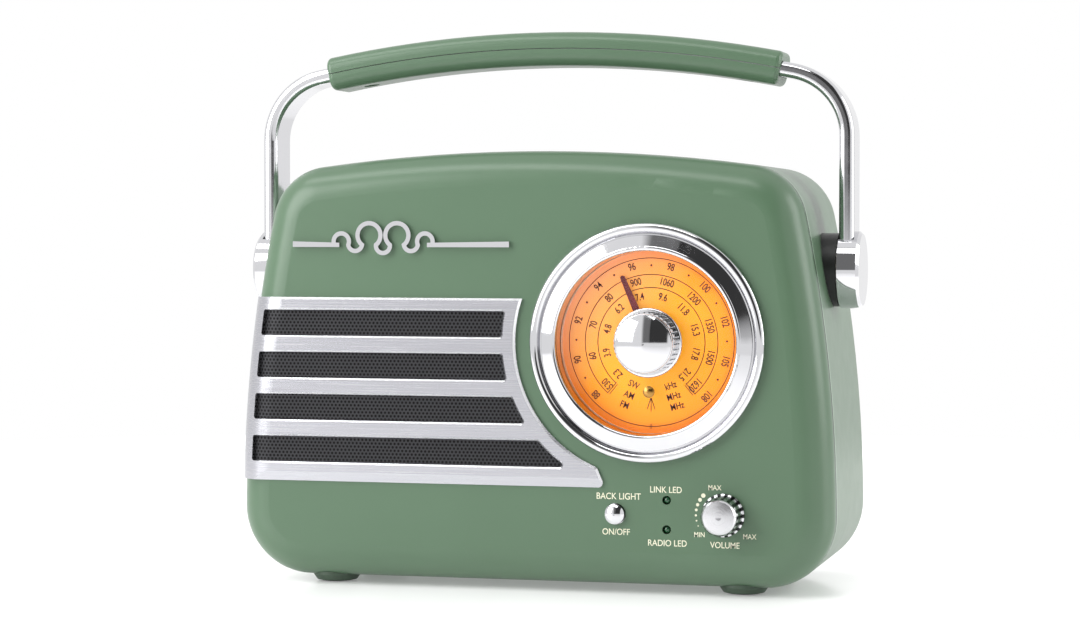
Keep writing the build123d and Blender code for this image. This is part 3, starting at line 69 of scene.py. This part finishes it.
# The dial's print, in millimetres and clock degrees.
FIGURE_PITCH = 29.6
FIGURE_ROWS = (
    (29.6, 4.0, ("88", "90", "92", "94", "96", "98", "100", "102", "105", "108")),
    (23.5, 3.9, ("530", "60", "70", "80", "900", "1060", "1200", "1350", "1500", "1620")),
    (17.7, 3.9, ("2.3", "3.9", "4.8", "6.2", "7.4", "9.6", "11.8", "15.3", "17.8", "21.5")),
)
UNIT_WORDS = (
    ("SW", -6.8, -16.4, 24),
    ("AM", -8.6, -20.4, 22),
    ("FM", -10.4, -24.2, 20),
    ("kHz", 7.6, -16.6, -20),
    ("MHz", 8.8, -20.6, -18),
    ("MHz", 10.2, -24.4, -16),
)
ARC_RADII = (25.9, 20.9)
ARC_END = 139
PRINT_WIDTH = 0.32
RING_RADIUS = 32.2
RAY_START = -21.0
PRINT_LIFT = 0.05 * MM
LETTER_LIFT = 0.03 * MM

# ---------------------------------------------------------------- shader building


def linear(red, green, blue):
    """A colour given as 0 to 255 screen values, as a linear RGBA tuple."""
    out = []
    for value in (red, green, blue):
        v = value / 255
        out.append(v / 12.92 if v <= 0.04045 else ((v + 0.055) / 1.055) ** 2.4)
    return (*out, 1.0)


class Shader:
    """A material with one Principled shader, and short names for the nodes that feed it."""

    def __init__(self, name, colour, rough, metal=0.0):
        self.material = bpy.data.materials.new(name)
        self.material.use_nodes = True
        self.tree = self.material.node_tree
        self.out = self.tree.nodes["Principled BSDF"]
        self.set("Base Color", colour)
        self.set("Roughness", rough)
        self.set("Metallic", metal)

    def set(self, socket, value):
        self.out.inputs[socket].default_value = value

    def node(self, kind, values=None, **settings):
        made = self.tree.nodes.new(kind)
        for key, value in settings.items():
            setattr(made, key, value)
        for key, value in (values or {}).items():
            if isinstance(value, bpy.types.NodeSocket):
                self.tree.links.new(value, made.inputs[key])
            else:
                made.inputs[key].default_value = value
        return made

    def feed(self, socket, value):
        self.tree.links.new(value, self.out.inputs[socket])

    def place(self, scale=(1, 1, 1), shift=(0, 0, 0)):
        """The point in the frame, in metres, moved and then scaled."""
        point = self.node("ShaderNodeTexCoord").outputs["Object"]
        moved = self.node("ShaderNodeVectorMath", {0: point, 1: shift}, operation="SUBTRACT")
        return self.node(
            "ShaderNodeVectorMath", {0: moved.outputs[0], 1: scale}, operation="MULTIPLY"
        ).outputs[0]

    def noise(self, scale, detail=3.0, rough=0.5, stretch=(1, 1, 1)):
        return self.node(
            "ShaderNodeTexNoise",
            {"Vector": self.place(stretch), "Scale": scale, "Detail": detail, "Roughness": rough},
        ).outputs["Fac"]

    def math(self, operation, first, second=0.0, third=0.0):
        return self.node(
            "ShaderNodeMath", {0: first, 1: second, 2: third}, operation=operation
        ).outputs[0]

    def axes(self, vector):
        return self.node("ShaderNodeSeparateXYZ", {0: vector}).outputs

    def span(self, value, low, high, out_low, out_high):
        return self.node(
            "ShaderNodeMapRange", {0: value, 1: low, 2: high, 3: out_low, 4: out_high}
        ).outputs[0]

    def ramp(self, value, *stops):
        made = self.node("ShaderNodeValToRGB", {0: value})
        points = made.color_ramp.elements
        while len(points) < len(stops):
            points.new(0.5)
        for point, (at, colour) in zip(points, stops):
            point.position = at
            point.color = colour
        return made.outputs[0]

    def mottle(self, dark, light, scale, detail=3.0, rough=0.5):
        """Lets the colour wander between two close shades."""
        shade = self.noise(scale, detail, rough)
        self.feed("Base Color", self.ramp(shade, (0.3, dark), (0.7, light)))

    def bump(self, height, distance, strength=1.0, normal=None):
        values = {"Height": height, "Distance": distance, "Strength": strength}
        if normal is not None:
            values["Normal"] = normal
        return self.node("ShaderNodeBump", values).outputs[0]


# ---------------------------------------------------------------- materials


def moulded_green():
    """Satin moulded plastic with a very fine spark-eroded grain, painted shade at the shell joint
    and a painted highlight on the rear shell's lip.
    """
    s = Shader("moulded_green", linear(84, 118, 90), 0.3)
    shade = s.noise(22, 4)
    plain = s.ramp(shade, (0.3, linear(82, 108, 84)), (0.7, linear(84, 110, 86)))
    # The joint between the shells: painted shade in the gap, and a painted highlight on the rear
    # shell's lip behind it.
    y = s.axes(s.place(shift=(0, SEAM_Y, 0)))[1]
    gap_shade = s.math(
        "MULTIPLY",
        s.span(y, -SEAM_GAP, 2 * SEAM_SOFT - SEAM_GAP, 0, 1),
        s.span(y, 0.0, SEAM_SOFT, 1, 0),
    )
    lip_highlight = s.math(
        "MULTIPLY",
        s.span(y, SEAM_SOFT / 2, 1.5 * SEAM_SOFT, 0, 1),
        s.span(y, SEAM_GAP - 3 * SEAM_SOFT, SEAM_GAP, 1, 0),
    )
    dark = s.node("ShaderNodeMix", {0: gap_shade, 6: plain}, data_type="RGBA")
    dark.inputs[7].default_value = linear(20, 36, 22)
    light = s.node("ShaderNodeMix", {0: lip_highlight, 6: dark.outputs[2]}, data_type="RGBA")
    light.inputs[7].default_value = linear(140, 166, 142)
    s.feed("Base Color", light.outputs[2])
    s.feed("Roughness", s.span(s.noise(140, 4), 0.3, 0.7, 0.29, 0.32))
    s.feed("Normal", s.bump(s.noise(2600, 2, 0.6), 0.00002, 0.1))
    return s.material


def foot_green():
    s = Shader("foot_green", linear(62, 80, 64), 0.45)
    s.mottle(linear(58, 76, 60), linear(66, 84, 68), 60, 4)
    s.feed("Normal", s.bump(s.noise(2600, 2, 0.6), 0.00003, 0.25))
    return s.material


def satin_silver():
    """Satin plated metal, drawn along its length so finely that single lines barely show."""
    s = Shader("satin_silver", linear(196, 196, 201), 0.26, 1.0)
    lines = s.noise(420, 4, 0.6, (0.06, 1, 6))
    # The bevels along the slots and round the rim, found by their normals, get a painted highlight:
    # a brighter colour than the flat face.
    along, _, up = s.axes(s.node("ShaderNodeNewGeometry").outputs["True Normal"])
    edge = s.span(s.math("MAXIMUM", s.math("ABSOLUTE", up), along), 0.4, 0.6, 0.0, 1.0)
    flat = s.ramp(lines, (0.3, linear(184, 184, 190)), (0.7, linear(192, 192, 197)))
    bevel_highlight = s.node("ShaderNodeMix", {0: edge, 6: flat}, data_type="RGBA")
    bevel_highlight.inputs[7].default_value = linear(236, 236, 239)
    s.feed("Base Color", bevel_highlight.outputs[2])
    s.feed("Roughness", s.span(lines, 0.3, 0.7, 0.22, 0.29))
    s.feed("Normal", s.bump(lines, 0.00001, 0.05))
    return s.material


def punched_mesh():
    """Round holes in staggered rows, about a millimetre and a half apart."""
    s = Shader("punched_mesh", linear(34, 34, 36), 0.45, 0.6)
    x, _, z = s.axes(s.place((1 / MESH_PITCH, 1, 1 / (MESH_PITCH * ROW_SHARE))))
    row = s.math("FLOOR", z)
    shifted = s.math("ADD", x, s.math("MULTIPLY", row, 0.5))
    across = s.math("SUBTRACT", s.math("FRACT", shifted), 0.5)
    up = s.math("MULTIPLY", s.math("SUBTRACT", s.math("FRACT", z), 0.5), ROW_SHARE)
    square = s.math("ADD", s.math("MULTIPLY", across, across), s.math("MULTIPLY", up, up))
    reach = s.math("POWER", square, 0.5)
    rim = s.span(reach, 0.26, 0.38, 0.0, 1.0)
    # Painted shade: the holes are near black; a painted highlight lightens the web's crown between
    # them.
    hole_shade, web, crown_highlight = linear(2, 2, 3), linear(34, 34, 36), linear(58, 58, 61)
    s.feed("Base Color", s.ramp(rim, (0.0, hole_shade), (0.7, web), (1.0, crown_highlight)))
    s.feed("Normal", s.bump(rim, 0.0004, 1.0))
    s.feed("Roughness", s.span(s.noise(700, 2), 0.3, 0.7, 0.35, 0.55))
    return s.material


def mirror_chrome():
    s = Shader("mirror_chrome", linear(214, 214, 217), 0.05, 1.0)
    s.feed("Roughness", s.span(s.noise(90, 4), 0.35, 0.75, 0.03, 0.09))
    s.feed("Normal", s.bump(s.noise(60, 2), 0.00003, 0.12))
    return s.material


def knurled_chrome():
    s = Shader("knurled_chrome", linear(225, 225, 228), 0.1, 1.0)
    s.feed("Roughness", s.span(s.noise(500, 3), 0.35, 0.75, 0.06, 0.2))
    return s.material


def spun_chrome():
    """Turned metal: rings round the volume knob's axis."""
    s = Shader("spun_chrome", linear(220, 220, 223), 0.2, 1.0)
    x, _, z = s.axes(s.place(shift=tuple(KNOB)))
    reach = s.math("SQRT", s.math("ADD", s.math("MULTIPLY", x, x), s.math("MULTIPLY", z, z)))
    rings = s.node(
        "ShaderNodeTexNoise",
        {"W": s.math("MULTIPLY", reach, 5200), "Scale": 1.0, "Detail": 3.0},
        noise_dimensions="1D",
    ).outputs["Fac"]
    s.feed("Normal", s.bump(rings, 0.00003, 0.5))
    s.feed("Roughness", s.span(rings, 0.3, 0.7, 0.14, 0.28))
    s.set("Anisotropic", 0.5)
    # Painted shade: the gaps between the teeth round the rim are coloured dark.
    turn = s.math("MULTIPLY", s.math("ARCTAN2", x, z), KNOB_TEETH / (2 * pi))
    tooth = s.math("ABSOLUTE", s.math("SUBTRACT", s.math("FRACT", turn), 0.5))
    rim = s.span(reach, TOOTH_ROOT, TOOTH_ROOT + 0.3 * MM, 0.0, 1.0)
    gap_shade = s.math("MULTIPLY", s.span(tooth, 0.22, 0.3, 1.0, 0.0), rim)
    s.feed("Base Color", s.ramp(gap_shade, (0.0, linear(208, 208, 211)), (1.0, linear(44, 46, 46))))
    return s.material


def brushed_band():
    """The handle band: polished, with faint lines along its length."""
    s = Shader("brushed_band", linear(214, 214, 217), 0.09, 1.0)
    s.feed("Roughness", s.span(s.noise(260, 4, 0.6, (0.3, 1.6, 0.3)), 0.3, 0.75, 0.05, 0.13))
    return s.material


def clear_lens():
    s = Shader("clear_lens", linear(252, 252, 252), 0.0)
    s.set("Transmission Weight", 1.0)
    s.set("IOR", 1.2)
    s.feed("Roughness", s.span(s.noise(120, 3), 0.45, 0.8, 0.0, 0.03))
    return s.material


def lit_dial():
    """A backlit translucent scale, brightest near the lamps."""
    s = Shader("lit_dial", linear(240, 150, 70), 0.55)
    x, _, z = s.axes(s.place(shift=tuple(DIAL)))
    reach = s.math("SQRT", s.math("ADD", s.math("MULTIPLY", x, x), s.math("MULTIPLY", z, z)))
    cloud = s.math("MULTIPLY", s.noise(70, 2), 0.08)
    drift = s.math("ADD", s.span(reach, 0.0, DIAL_REACH, 0.0, 1.0), cloud)
    glow = s.ramp(
        drift,
        (0.0, linear(255, 184, 60)),
        (0.62, linear(255, 168, 30)),
        (0.9, linear(252, 152, 24)),
        (1.0, linear(232, 122, 20)),
    )
    # The upper left of the scale is painted paler: a painted reflection of the window light on the
    # lens.
    slant = s.math("SUBTRACT", z, x)
    uneven = s.math("ADD", slant, s.math("MULTIPLY", s.noise(40, 2), 0.01))
    lens_glare = s.span(uneven, 12 * MM, 55 * MM, 0.0, 0.3)
    glare_mixed = s.node("ShaderNodeMix", {0: lens_glare, 6: glow}, data_type="RGBA")
    glare_mixed.inputs[7].default_value = linear(255, 214, 190)
    s.feed("Base Color", glare_mixed.outputs[2])
    s.feed("Emission Color", glare_mixed.outputs[2])
    s.set("Emission Strength", 0.5)
    s.feed("Normal", s.bump(s.noise(1800, 2), 0.00002, 0.2))
    return s.material


def dial_ink():
    s = Shader("dial_ink", linear(96, 34, 28), 0.6)
    s.mottle(linear(82, 26, 24), linear(112, 42, 32), 900, 3)
    return s.material


def cream_ink():
    s = Shader("cream_ink", linear(228, 226, 200), 0.55)
    s.mottle(linear(220, 218, 190), linear(236, 234, 212), 1200, 3)
    return s.material


def maroon_needle():
    s = Shader("maroon_needle", linear(104, 26, 34), 0.35)
    s.mottle(linear(116, 18, 36), linear(136, 26, 46), 300, 3)
    s.feed("Normal", s.bump(s.noise(2500, 2), 0.00002, 0.3))
    s.set("Coat Weight", 0.3)
    return s.material


def plain_plastic(name, dark, light, rough, grain=2200):
    s = Shader(name, light, rough)
    s.mottle(dark, light, 35, 4)
    s.feed("Roughness", s.span(s.noise(180, 4), 0.3, 0.7, rough - 0.06, rough + 0.08))
    s.feed("Normal", s.bump(s.noise(grain, 2), 0.00004, 0.35))
    return s.material


def plain_metal(name, dark, light, rough, stretch=(1, 1, 1)):
    s = Shader(name, light, rough, 1.0)
    streaks = s.noise(400, 4, 0.6, stretch)
    s.feed("Base Color", s.ramp(streaks, (0.3, dark), (0.7, light)))
    s.feed("Roughness", s.span(streaks, 0.3, 0.7, rough - 0.05, rough + 0.1))
    s.feed("Normal", s.bump(streaks, 0.00002, 0.2))
    return s.material


def glowing(name, colour, strength):
    s = Shader(name, colour, 0.3)
    brighter = tuple(min(1.0, c * 1.3) for c in colour)
    s.feed("Emission Color", s.ramp(s.noise(500, 2), (0.3, colour), (0.8, brighter)))
    s.set("Emission Strength", strength)
    return s.material


def light_pipe():
    s = Shader("light_pipe", linear(14, 64, 36), 0.12)
    s.set("Coat Weight", 0.8)
    s.mottle(linear(8, 46, 26), linear(24, 84, 48), 900, 2)
    return s.material


def circuit_green():
    """Solder mask over fine copper tracks."""
    s = Shader("circuit_green", linear(16, 70, 38), 0.3)
    cells = s.noise(420, 0, 0.0, (1, 0.2, 1))
    track = s.span(cells, 0.47, 0.5, 0.0, 1.0)
    bare, edge, mask = linear(10, 56, 30), linear(34, 104, 60), linear(14, 66, 36)
    s.feed("Base Color", s.ramp(track, (0.0, bare), (0.5, edge), (1.0, mask)))
    s.feed("Normal", s.bump(track, 0.00005, 0.5))
    s.set("Coat Weight", 0.5)
    return s.material


def paper_cone():
    s = Shader("paper_cone", linear(36, 34, 33), 0.85)
    s.mottle(linear(24, 23, 22), linear(52, 50, 47), 1500, 5, 0.7)
    s.feed("Normal", s.bump(s.noise(1400, 4, 0.7), 0.0001, 0.6))
    s.set("Sheen Weight", 0.2)
    return s.material


def soft_rubber():
    s = Shader("soft_rubber", linear(30, 30, 31), 0.75)
    s.mottle(linear(24, 24, 25), linear(38, 38, 39), 60, 4)
    s.feed("Normal", s.bump(s.noise(3000, 3, 0.7), 0.00006, 0.5))
    return s.material


def wound_copper():
    s = Shader("wound_copper", linear(180, 92, 48), 0.28, 1.0)
    x = s.axes(s.place((1, 1, 1)))[0]
    wave = s.math("SINE", s.math("MULTIPLY", x, 2 * pi / (0.35 * MM)))
    # Painted shade darkens the creases between turns; a painted highlight lightens each turn's top.
    crease_shade, top = linear(92, 38, 20), linear(206, 112, 62)
    s.feed("Base Color", s.ramp(s.span(wave, -1, 1, 0, 1), (0.0, crease_shade), (1.0, top)))
    s.feed("Normal", s.bump(wave, 0.0001, 0.6))
    return s.material


SLOT_MATERIALS = {
    "green_plastic": moulded_green(),
    "brushed_silver": satin_silver(),
    "black_mesh": punched_mesh(),
    "chrome_trim": mirror_chrome(),
    "clear_plastic": clear_lens(),
    "dial_print": lit_dial(),
    "white_plastic": plain_plastic(
        "white_cup", linear(226, 224, 216), linear(240, 238, 232), 0.4
    ),
    "lamp": glowing("warm_lamp", linear(255, 190, 110), 3.0),
    "maroon_plastic": maroon_needle(),
    "brass": plain_metal("turned_brass", linear(150, 108, 52), linear(196, 150, 84), 0.25),
    "steel": plain_metal("zinc_steel", linear(150, 150, 154), linear(196, 196, 200), 0.28),
    "chrome_tube": plain_metal(
        "drawn_tube", linear(214, 214, 218), linear(234, 234, 237), 0.1, (0.1, 1, 1)
    ),
    "black_plastic": plain_plastic("black_moulding", linear(20, 20, 21), linear(30, 30, 31), 0.42),
    "circuit_board": circuit_green(),
    "component_black": plain_plastic("epoxy_black", linear(24, 24, 25), linear(36, 36, 38), 0.5),
    "green_light": light_pipe(),
    "magnet": plain_metal("sintered_magnet", linear(74, 74, 78), linear(104, 104, 108), 0.45),
    "paper_cone": paper_cone(),
    "soft_rubber": soft_rubber(),
    "ferrite": plain_plastic("ferrite_grey", linear(50, 49, 50), linear(70, 68, 68), 0.6, 900),
    "copper_wire": wound_copper(),
    "battery_wrap": plain_plastic("battery_sleeve", linear(36, 72, 128), linear(48, 88, 150), 0.3),
    "spring_steel": plain_metal("spring_steel", linear(168, 164, 156), linear(206, 202, 194), 0.25),
    "nylon": plain_plastic("natural_nylon", linear(214, 208, 192), linear(230, 224, 210), 0.45),
}
CREAM = cream_ink()
INK = dial_ink()

NODE_MATERIALS = {
    "tuning_knob": knurled_chrome(),
    "volume_knob": spun_chrome(),
    "handle_bail": brushed_band(),
    "feet": foot_green(),
}


def dress_frame():
    """Gives each CAD node the material of its slot, or its own."""
    for name, thing in nodes.items():
        for row, was in enumerate(list(thing.data.materials)):
            slot = was.name.split(".")[0]
            thing.data.materials[row] = NODE_MATERIALS.get(name) or SLOT_MATERIALS[slot]


# ---------------------------------------------------------------- pieces


def new_piece(name, mesh, material, body):
    piece = bpy.data.objects.new(name, mesh)
    bpy.context.scene.collection.objects.link(piece)
    mesh.materials.clear()
    mesh.materials.append(material)
    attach(piece, body)
    return piece


def letters(into, words, size, place, turn=0.0, squeeze=1.0, thick=0.0, facing=1):
    """Adds words, centred on a place on a face that looks along -Y, or +Y with facing -1."""
    curve = bpy.data.curves.new("words", "FONT")
    curve.body = words
    curve.size = size
    curve.align_x = "CENTER"
    curve.align_y = "CENTER"
    curve.offset = thick
    curve.extrude = 0.015 * MM
    holder = bpy.data.objects.new("words", curve)
    bpy.context.scene.collection.objects.link(holder)
    bpy.context.view_layer.update()
    mesh = bpy.data.meshes.new_from_object(holder)
    mesh.transform(
        Matrix.Translation(place)
        @ (Matrix.Rotation(0 if facing > 0 else pi, 4, "Z"))
        @ Matrix.Rotation(pi / 2, 4, "X")
        @ Matrix.Rotation(-turn, 4, "Z")
        @ Matrix.Diagonal((squeeze, 1, 1, 1))
    )
    into.from_mesh(mesh)
    bpy.data.objects.remove(holder)
    bpy.data.curves.remove(curve)
    bpy.data.meshes.remove(mesh)


def arc_strip(into, place, radius, width, start, end, steps=96):
    """Adds a thin flat arc, at clock angles in degrees, on a face that looks along -Y."""
    rows = []
    for step in range(steps + 1):
        angle = radians(start + (end - start) * step / steps)
        rows.append(
            [
                into.verts.new(place + Vector((r * sin(angle), 0, r * cos(angle))))
                for r in (radius - width / 2, radius + width / 2)
            ]
        )
    for (a, b), (c, d) in zip(rows, rows[1:]):
        into.faces.new((a, b, d, c))


def stroke(into, start, end, width):
    """Adds a thin flat line on a face that looks along -Y."""
    along = (end - start).normalized()
    side = Vector((along.z, 0, -along.x)) * (width / 2)
    corners = (start - side, start + side, end + side, end - side)
    into.faces.new([into.verts.new(corner) for corner in corners])


def dot(into, place, radius, steps=16):
    into.faces.new(
        [
            into.verts.new(place + Vector((radius * sin(a), 0, radius * cos(a))))
            for a in (2 * pi * k / steps for k in range(steps))
        ]
    )


def mesh_from(into, name):
    mesh = bpy.data.meshes.new(name)
    bmesh.ops.recalc_face_normals(into, faces=into.faces)
    into.to_mesh(mesh)
    into.free()
    return mesh


def clock(place, angle, radius):
    a = radians(angle)
    return place + Vector((radius * sin(a), 0, radius * cos(a)))


def dial_markings():
    """Three rings of figures, two arcs, the units and the ray mark under the stud."""
    made = bmesh.new()
    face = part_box("dial_face")[0][1] - PRINT_LIFT
    place = Vector((DIAL.x, face, DIAL.z))
    for radius, size, row in FIGURE_ROWS:
        for k, words in enumerate(row):
            angle = (k - 4.5) * FIGURE_PITCH
            spot = clock(place, angle, radius * MM)
            letters(made, words, size * MM, spot, radians(angle), 0.74, 0.07 * MM)
    for k in range(9):
        dot(made, clock(place, (k - 4) * FIGURE_PITCH, 29.4 * MM), 0.42 * MM)
    for radius in ARC_RADII:
        arc_strip(made, place, radius * MM, PRINT_WIDTH * MM, -ARC_END, ARC_END)
    outer, inner = ARC_RADII
    for side in (-1, 1):
        for angle, low, high, width in (
            (ARC_END, inner - 0.3, outer + 0.3, PRINT_WIDTH),
            (ARC_END + 2, inner, outer, 0.28),
        ):
            start = clock(place, side * angle, low * MM)
            stroke(made, start, clock(place, side * angle, high * MM), width * MM)
    arc_strip(made, place, RING_RADIUS * MM, 0.3 * MM, 0, 360, 160)
    tick = [clock(place, 180, (RING_RADIUS + step) * MM) for step in (-1, 1)]
    stroke(made, *tick, 0.35 * MM)
    for words, x, z, turn in UNIT_WORDS:
        spot = place + Vector((x, 0, z)) * MM
        letters(made, words, 3.7 * MM, spot, radians(turn), 0.78, 0.05 * MM)
    for lean in (-18, 0, 18):
        top = place + Vector((0, 0, RAY_START)) * MM
        away = Vector((sin(radians(lean)), 0, -cos(radians(lean))))
        length = 5.6 if lean == 0 else 4.8
        stroke(made, top + away * 0.4 * MM, top + away * length * MM, PRINT_WIDTH * MM)
    new_piece("dial_markings", mesh_from(made, "dial_markings"), INK, "case")


def front_lettering():
    """The generic words beside the controls, and the growing dots round the volume knob."""
    made = bmesh.new()
    y = FRONT_Y - LETTER_LIFT
    for words, size, x, z in (
        ("BACK LIGHT", 3.5, BUTTON.x / MM + 1.3, BUTTON.z / MM + 6.7),
        ("ON/OFF", 3.4, BUTTON.x / MM + 0.4, BUTTON.z / MM - 6.9),
        ("LINK LED", 3.4, LIGHTS.x / MM - 0.3, LIGHT_HIGH / MM + 3.9),
        ("RADIO LED", 3.4, LIGHTS.x / MM + 0.3, LIGHT_LOW / MM - 5.2),
        ("MAX", 2.7, KNOB.x / MM - 3.4, KNOB.z / MM + 10.2),
        ("MIN", 2.7, KNOB.x / MM - 9.2, KNOB.z / MM - 7.7),
        ("MAX", 2.7, KNOB.x / MM + 10.0, KNOB.z / MM - 8.0),
        ("VOLUME", 3.3, KNOB.x / MM + 0.6, KNOB.z / MM - 11.5),
    ):
        letters(made, words, size * MM, Vector((x * MM, y, z * MM)), 0, 0.88, 0.02 * MM)
    count = 7
    for k in range(count):
        share = k / (count - 1)
        spot = clock(Vector((KNOB.x, y, KNOB.z)), -47 - 67 * share, 10.6 * MM)
        dot(made, spot, (0.85 - 0.62 * share) * MM)
    mesh = mesh_from(made, "front_lettering")
    new_piece("front_lettering", mesh, CREAM, "case")


def panel_lettering():
    """The generic words above the jack, the charging socket and the band switch on the back."""
    made = bmesh.new()
    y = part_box("aux_jack")[1][1] + LETTER_LIFT
    switch = centre("band_switch")
    socket = centre("charging_socket")
    for words, size, place, rise in (
        ("AUX", 2.6, PANEL, 5.6),
        ("DC 5V", 2.6, socket, 5.6),
        ("BAND", 2.6, switch, 8.4),
        ("FM", 2.2, switch - Vector((4.5, 0, 0)) * MM, 5.6),
        ("AM", 2.2, switch, 5.6),
        ("LINK", 2.2, switch + Vector((5.0, 0, 0)) * MM, 5.6),
    ):
        spot = Vector((place.x, y, place.z + rise * MM))
        letters(made, words, size * MM, spot, 0, 0.9, 0.01 * MM, -1)
    mesh = mesh_from(made, "panel_lettering")
    new_piece("panel_lettering", mesh, CREAM, "case")


# ---------------------------------------------------------------- room


def studio():
    """A white floor and an even white room with one dark side, as in a product studio."""
    floor_mesh = bpy.data.meshes.new("floor")
    made = bmesh.new()
    bmesh.ops.create_circle(made, cap_ends=True, radius=6.0, segments=96)
    made.to_mesh(floor_mesh)
    made.free()
    floor = bpy.data.objects.new("floor", floor_mesh)
    bpy.context.scene.collection.objects.link(floor)
    floor.location.z = -0.0002
    s = Shader("gloss_floor", linear(250, 250, 250), 0.16)
    s.feed("Roughness", s.span(s.noise(6, 3), 0.3, 0.7, 0.12, 0.2))
    x, y, _ = s.axes(s.place())
    square = s.math("ADD", s.math("MULTIPLY", x, x), s.math("MULTIPLY", y, y))
    reach = s.math("SQRT", square)
    away = s.span(reach, 0.28, 0.8, 0.0, 1.0)
    s.feed("Base Color", s.ramp(away, (0.0, linear(250, 250, 250)), (1.0, linear(0, 0, 0))))
    s.feed("Specular IOR Level", s.span(away, 0.0, 1.0, 0.25, 0.0))
    s.set("Emission Color", (1, 1, 1, 1))
    s.feed("Emission Strength", s.span(away, 0.0, 1.0, 0.2, 1.0))
    floor_mesh.materials.append(s.material)

    world = bpy.data.worlds.new("studio")
    bpy.context.scene.world = world
    world.use_nodes = True
    tree = world.node_tree
    back = tree.nodes["Background"]
    point = tree.nodes.new("ShaderNodeTexCoord").outputs["Generated"]
    parts = tree.nodes.new("ShaderNodeSeparateXYZ")
    tree.links.new(point, parts.inputs[0])

    def span(socket, low, high, out_low, out_high):
        made = tree.nodes.new("ShaderNodeMapRange")
        tree.links.new(socket, made.inputs[0])
        for row, value in enumerate((low, high, out_low, out_high), 1):
            made.inputs[row].default_value = value
        return made.outputs[0]

    def times(first, second):
        made = tree.nodes.new("ShaderNodeMath")
        made.operation = "MULTIPLY"
        tree.links.new(first, made.inputs[0])
        tree.links.new(second, made.inputs[1])
        return made.outputs[0]

    def patch(left, right, low, high, soft, depth):
        """A dark card in front of the object, between two bearings and two heights."""
        across = times(
            span(parts.outputs[0], left, left + soft, 0.0, 1.0),
            span(parts.outputs[0], right, right + soft, 1.0, 0.0),
        )
        up = times(
            span(parts.outputs[2], low, low + 0.04, 0.0, 1.0),
            span(parts.outputs[2], high, high + 0.1, 1.0, 0.0),
        )
        ahead = span(parts.outputs[1], -0.3, -0.15, 1.0, 0.0)
        return span(times(times(across, up), ahead), 0.0, 1.0, 1.0, 1.0 - depth)

    card = patch(0.02, 0.62, -0.02, 0.85, 0.05, 0.95)
    veil = patch(-0.24, 0.03, -0.02, 0.85, 0.08, 0.8)
    level = times(card, veil)
    tree.links.new(level, back.inputs["Strength"])
    back.inputs["Color"].default_value = (1, 1, 1, 1)


def soft_light(name, place, aim, size, power):
    lamp = bpy.data.lights.new(name, "AREA")
    lamp.shape = "RECTANGLE"
    lamp.size, lamp.size_y = size
    lamp.energy = power
    thing = bpy.data.objects.new(name, lamp)
    bpy.context.scene.collection.objects.link(thing)
    thing.location = place
    thing.rotation_euler = (Vector(aim) - Vector(place)).to_track_quat("-Z", "Y").to_euler()


def camera():
    lens = bpy.data.cameras.new("camera")
    lens.sensor_width = 36
    lens.lens = CAMERA_LENS
    lens.clip_start = 0.05
    lens.clip_end = 50
    thing = bpy.data.objects.new("camera", lens)
    bpy.context.scene.collection.objects.link(thing)
    thing.location = CAMERA_PLACE
    thing.rotation_euler = (radians(90 - CAMERA_PITCH), radians(CAMERA_ROLL), radians(CAMERA_TURN))
    bpy.context.scene.camera = thing


CAMERA_LENS = 91.41
CAMERA_PLACE = (0.26671, -1.05995, 0.13785)
CAMERA_TURN = 14.407
CAMERA_PITCH = 1.774
CAMERA_ROLL = -0.02

camera()
studio()
soft_light("key", (-0.75, -0.7, 0.5), (-0.05, 0, 0.09), (0.7, 0.8), 9)
soft_light("top", (-0.25, -0.4, 1.0), (-0.03, 0, 0.16), (1.2, 0.25), 4)
soft_light("side", (1.2, 0.15, 0.5), (0.1, 0, 0.09), (0.6, 0.9), 6)
bpy.context.scene.view_settings.view_transform = "Standard"

dress_frame()
dial_markings()
front_lettering()
panel_lettering()
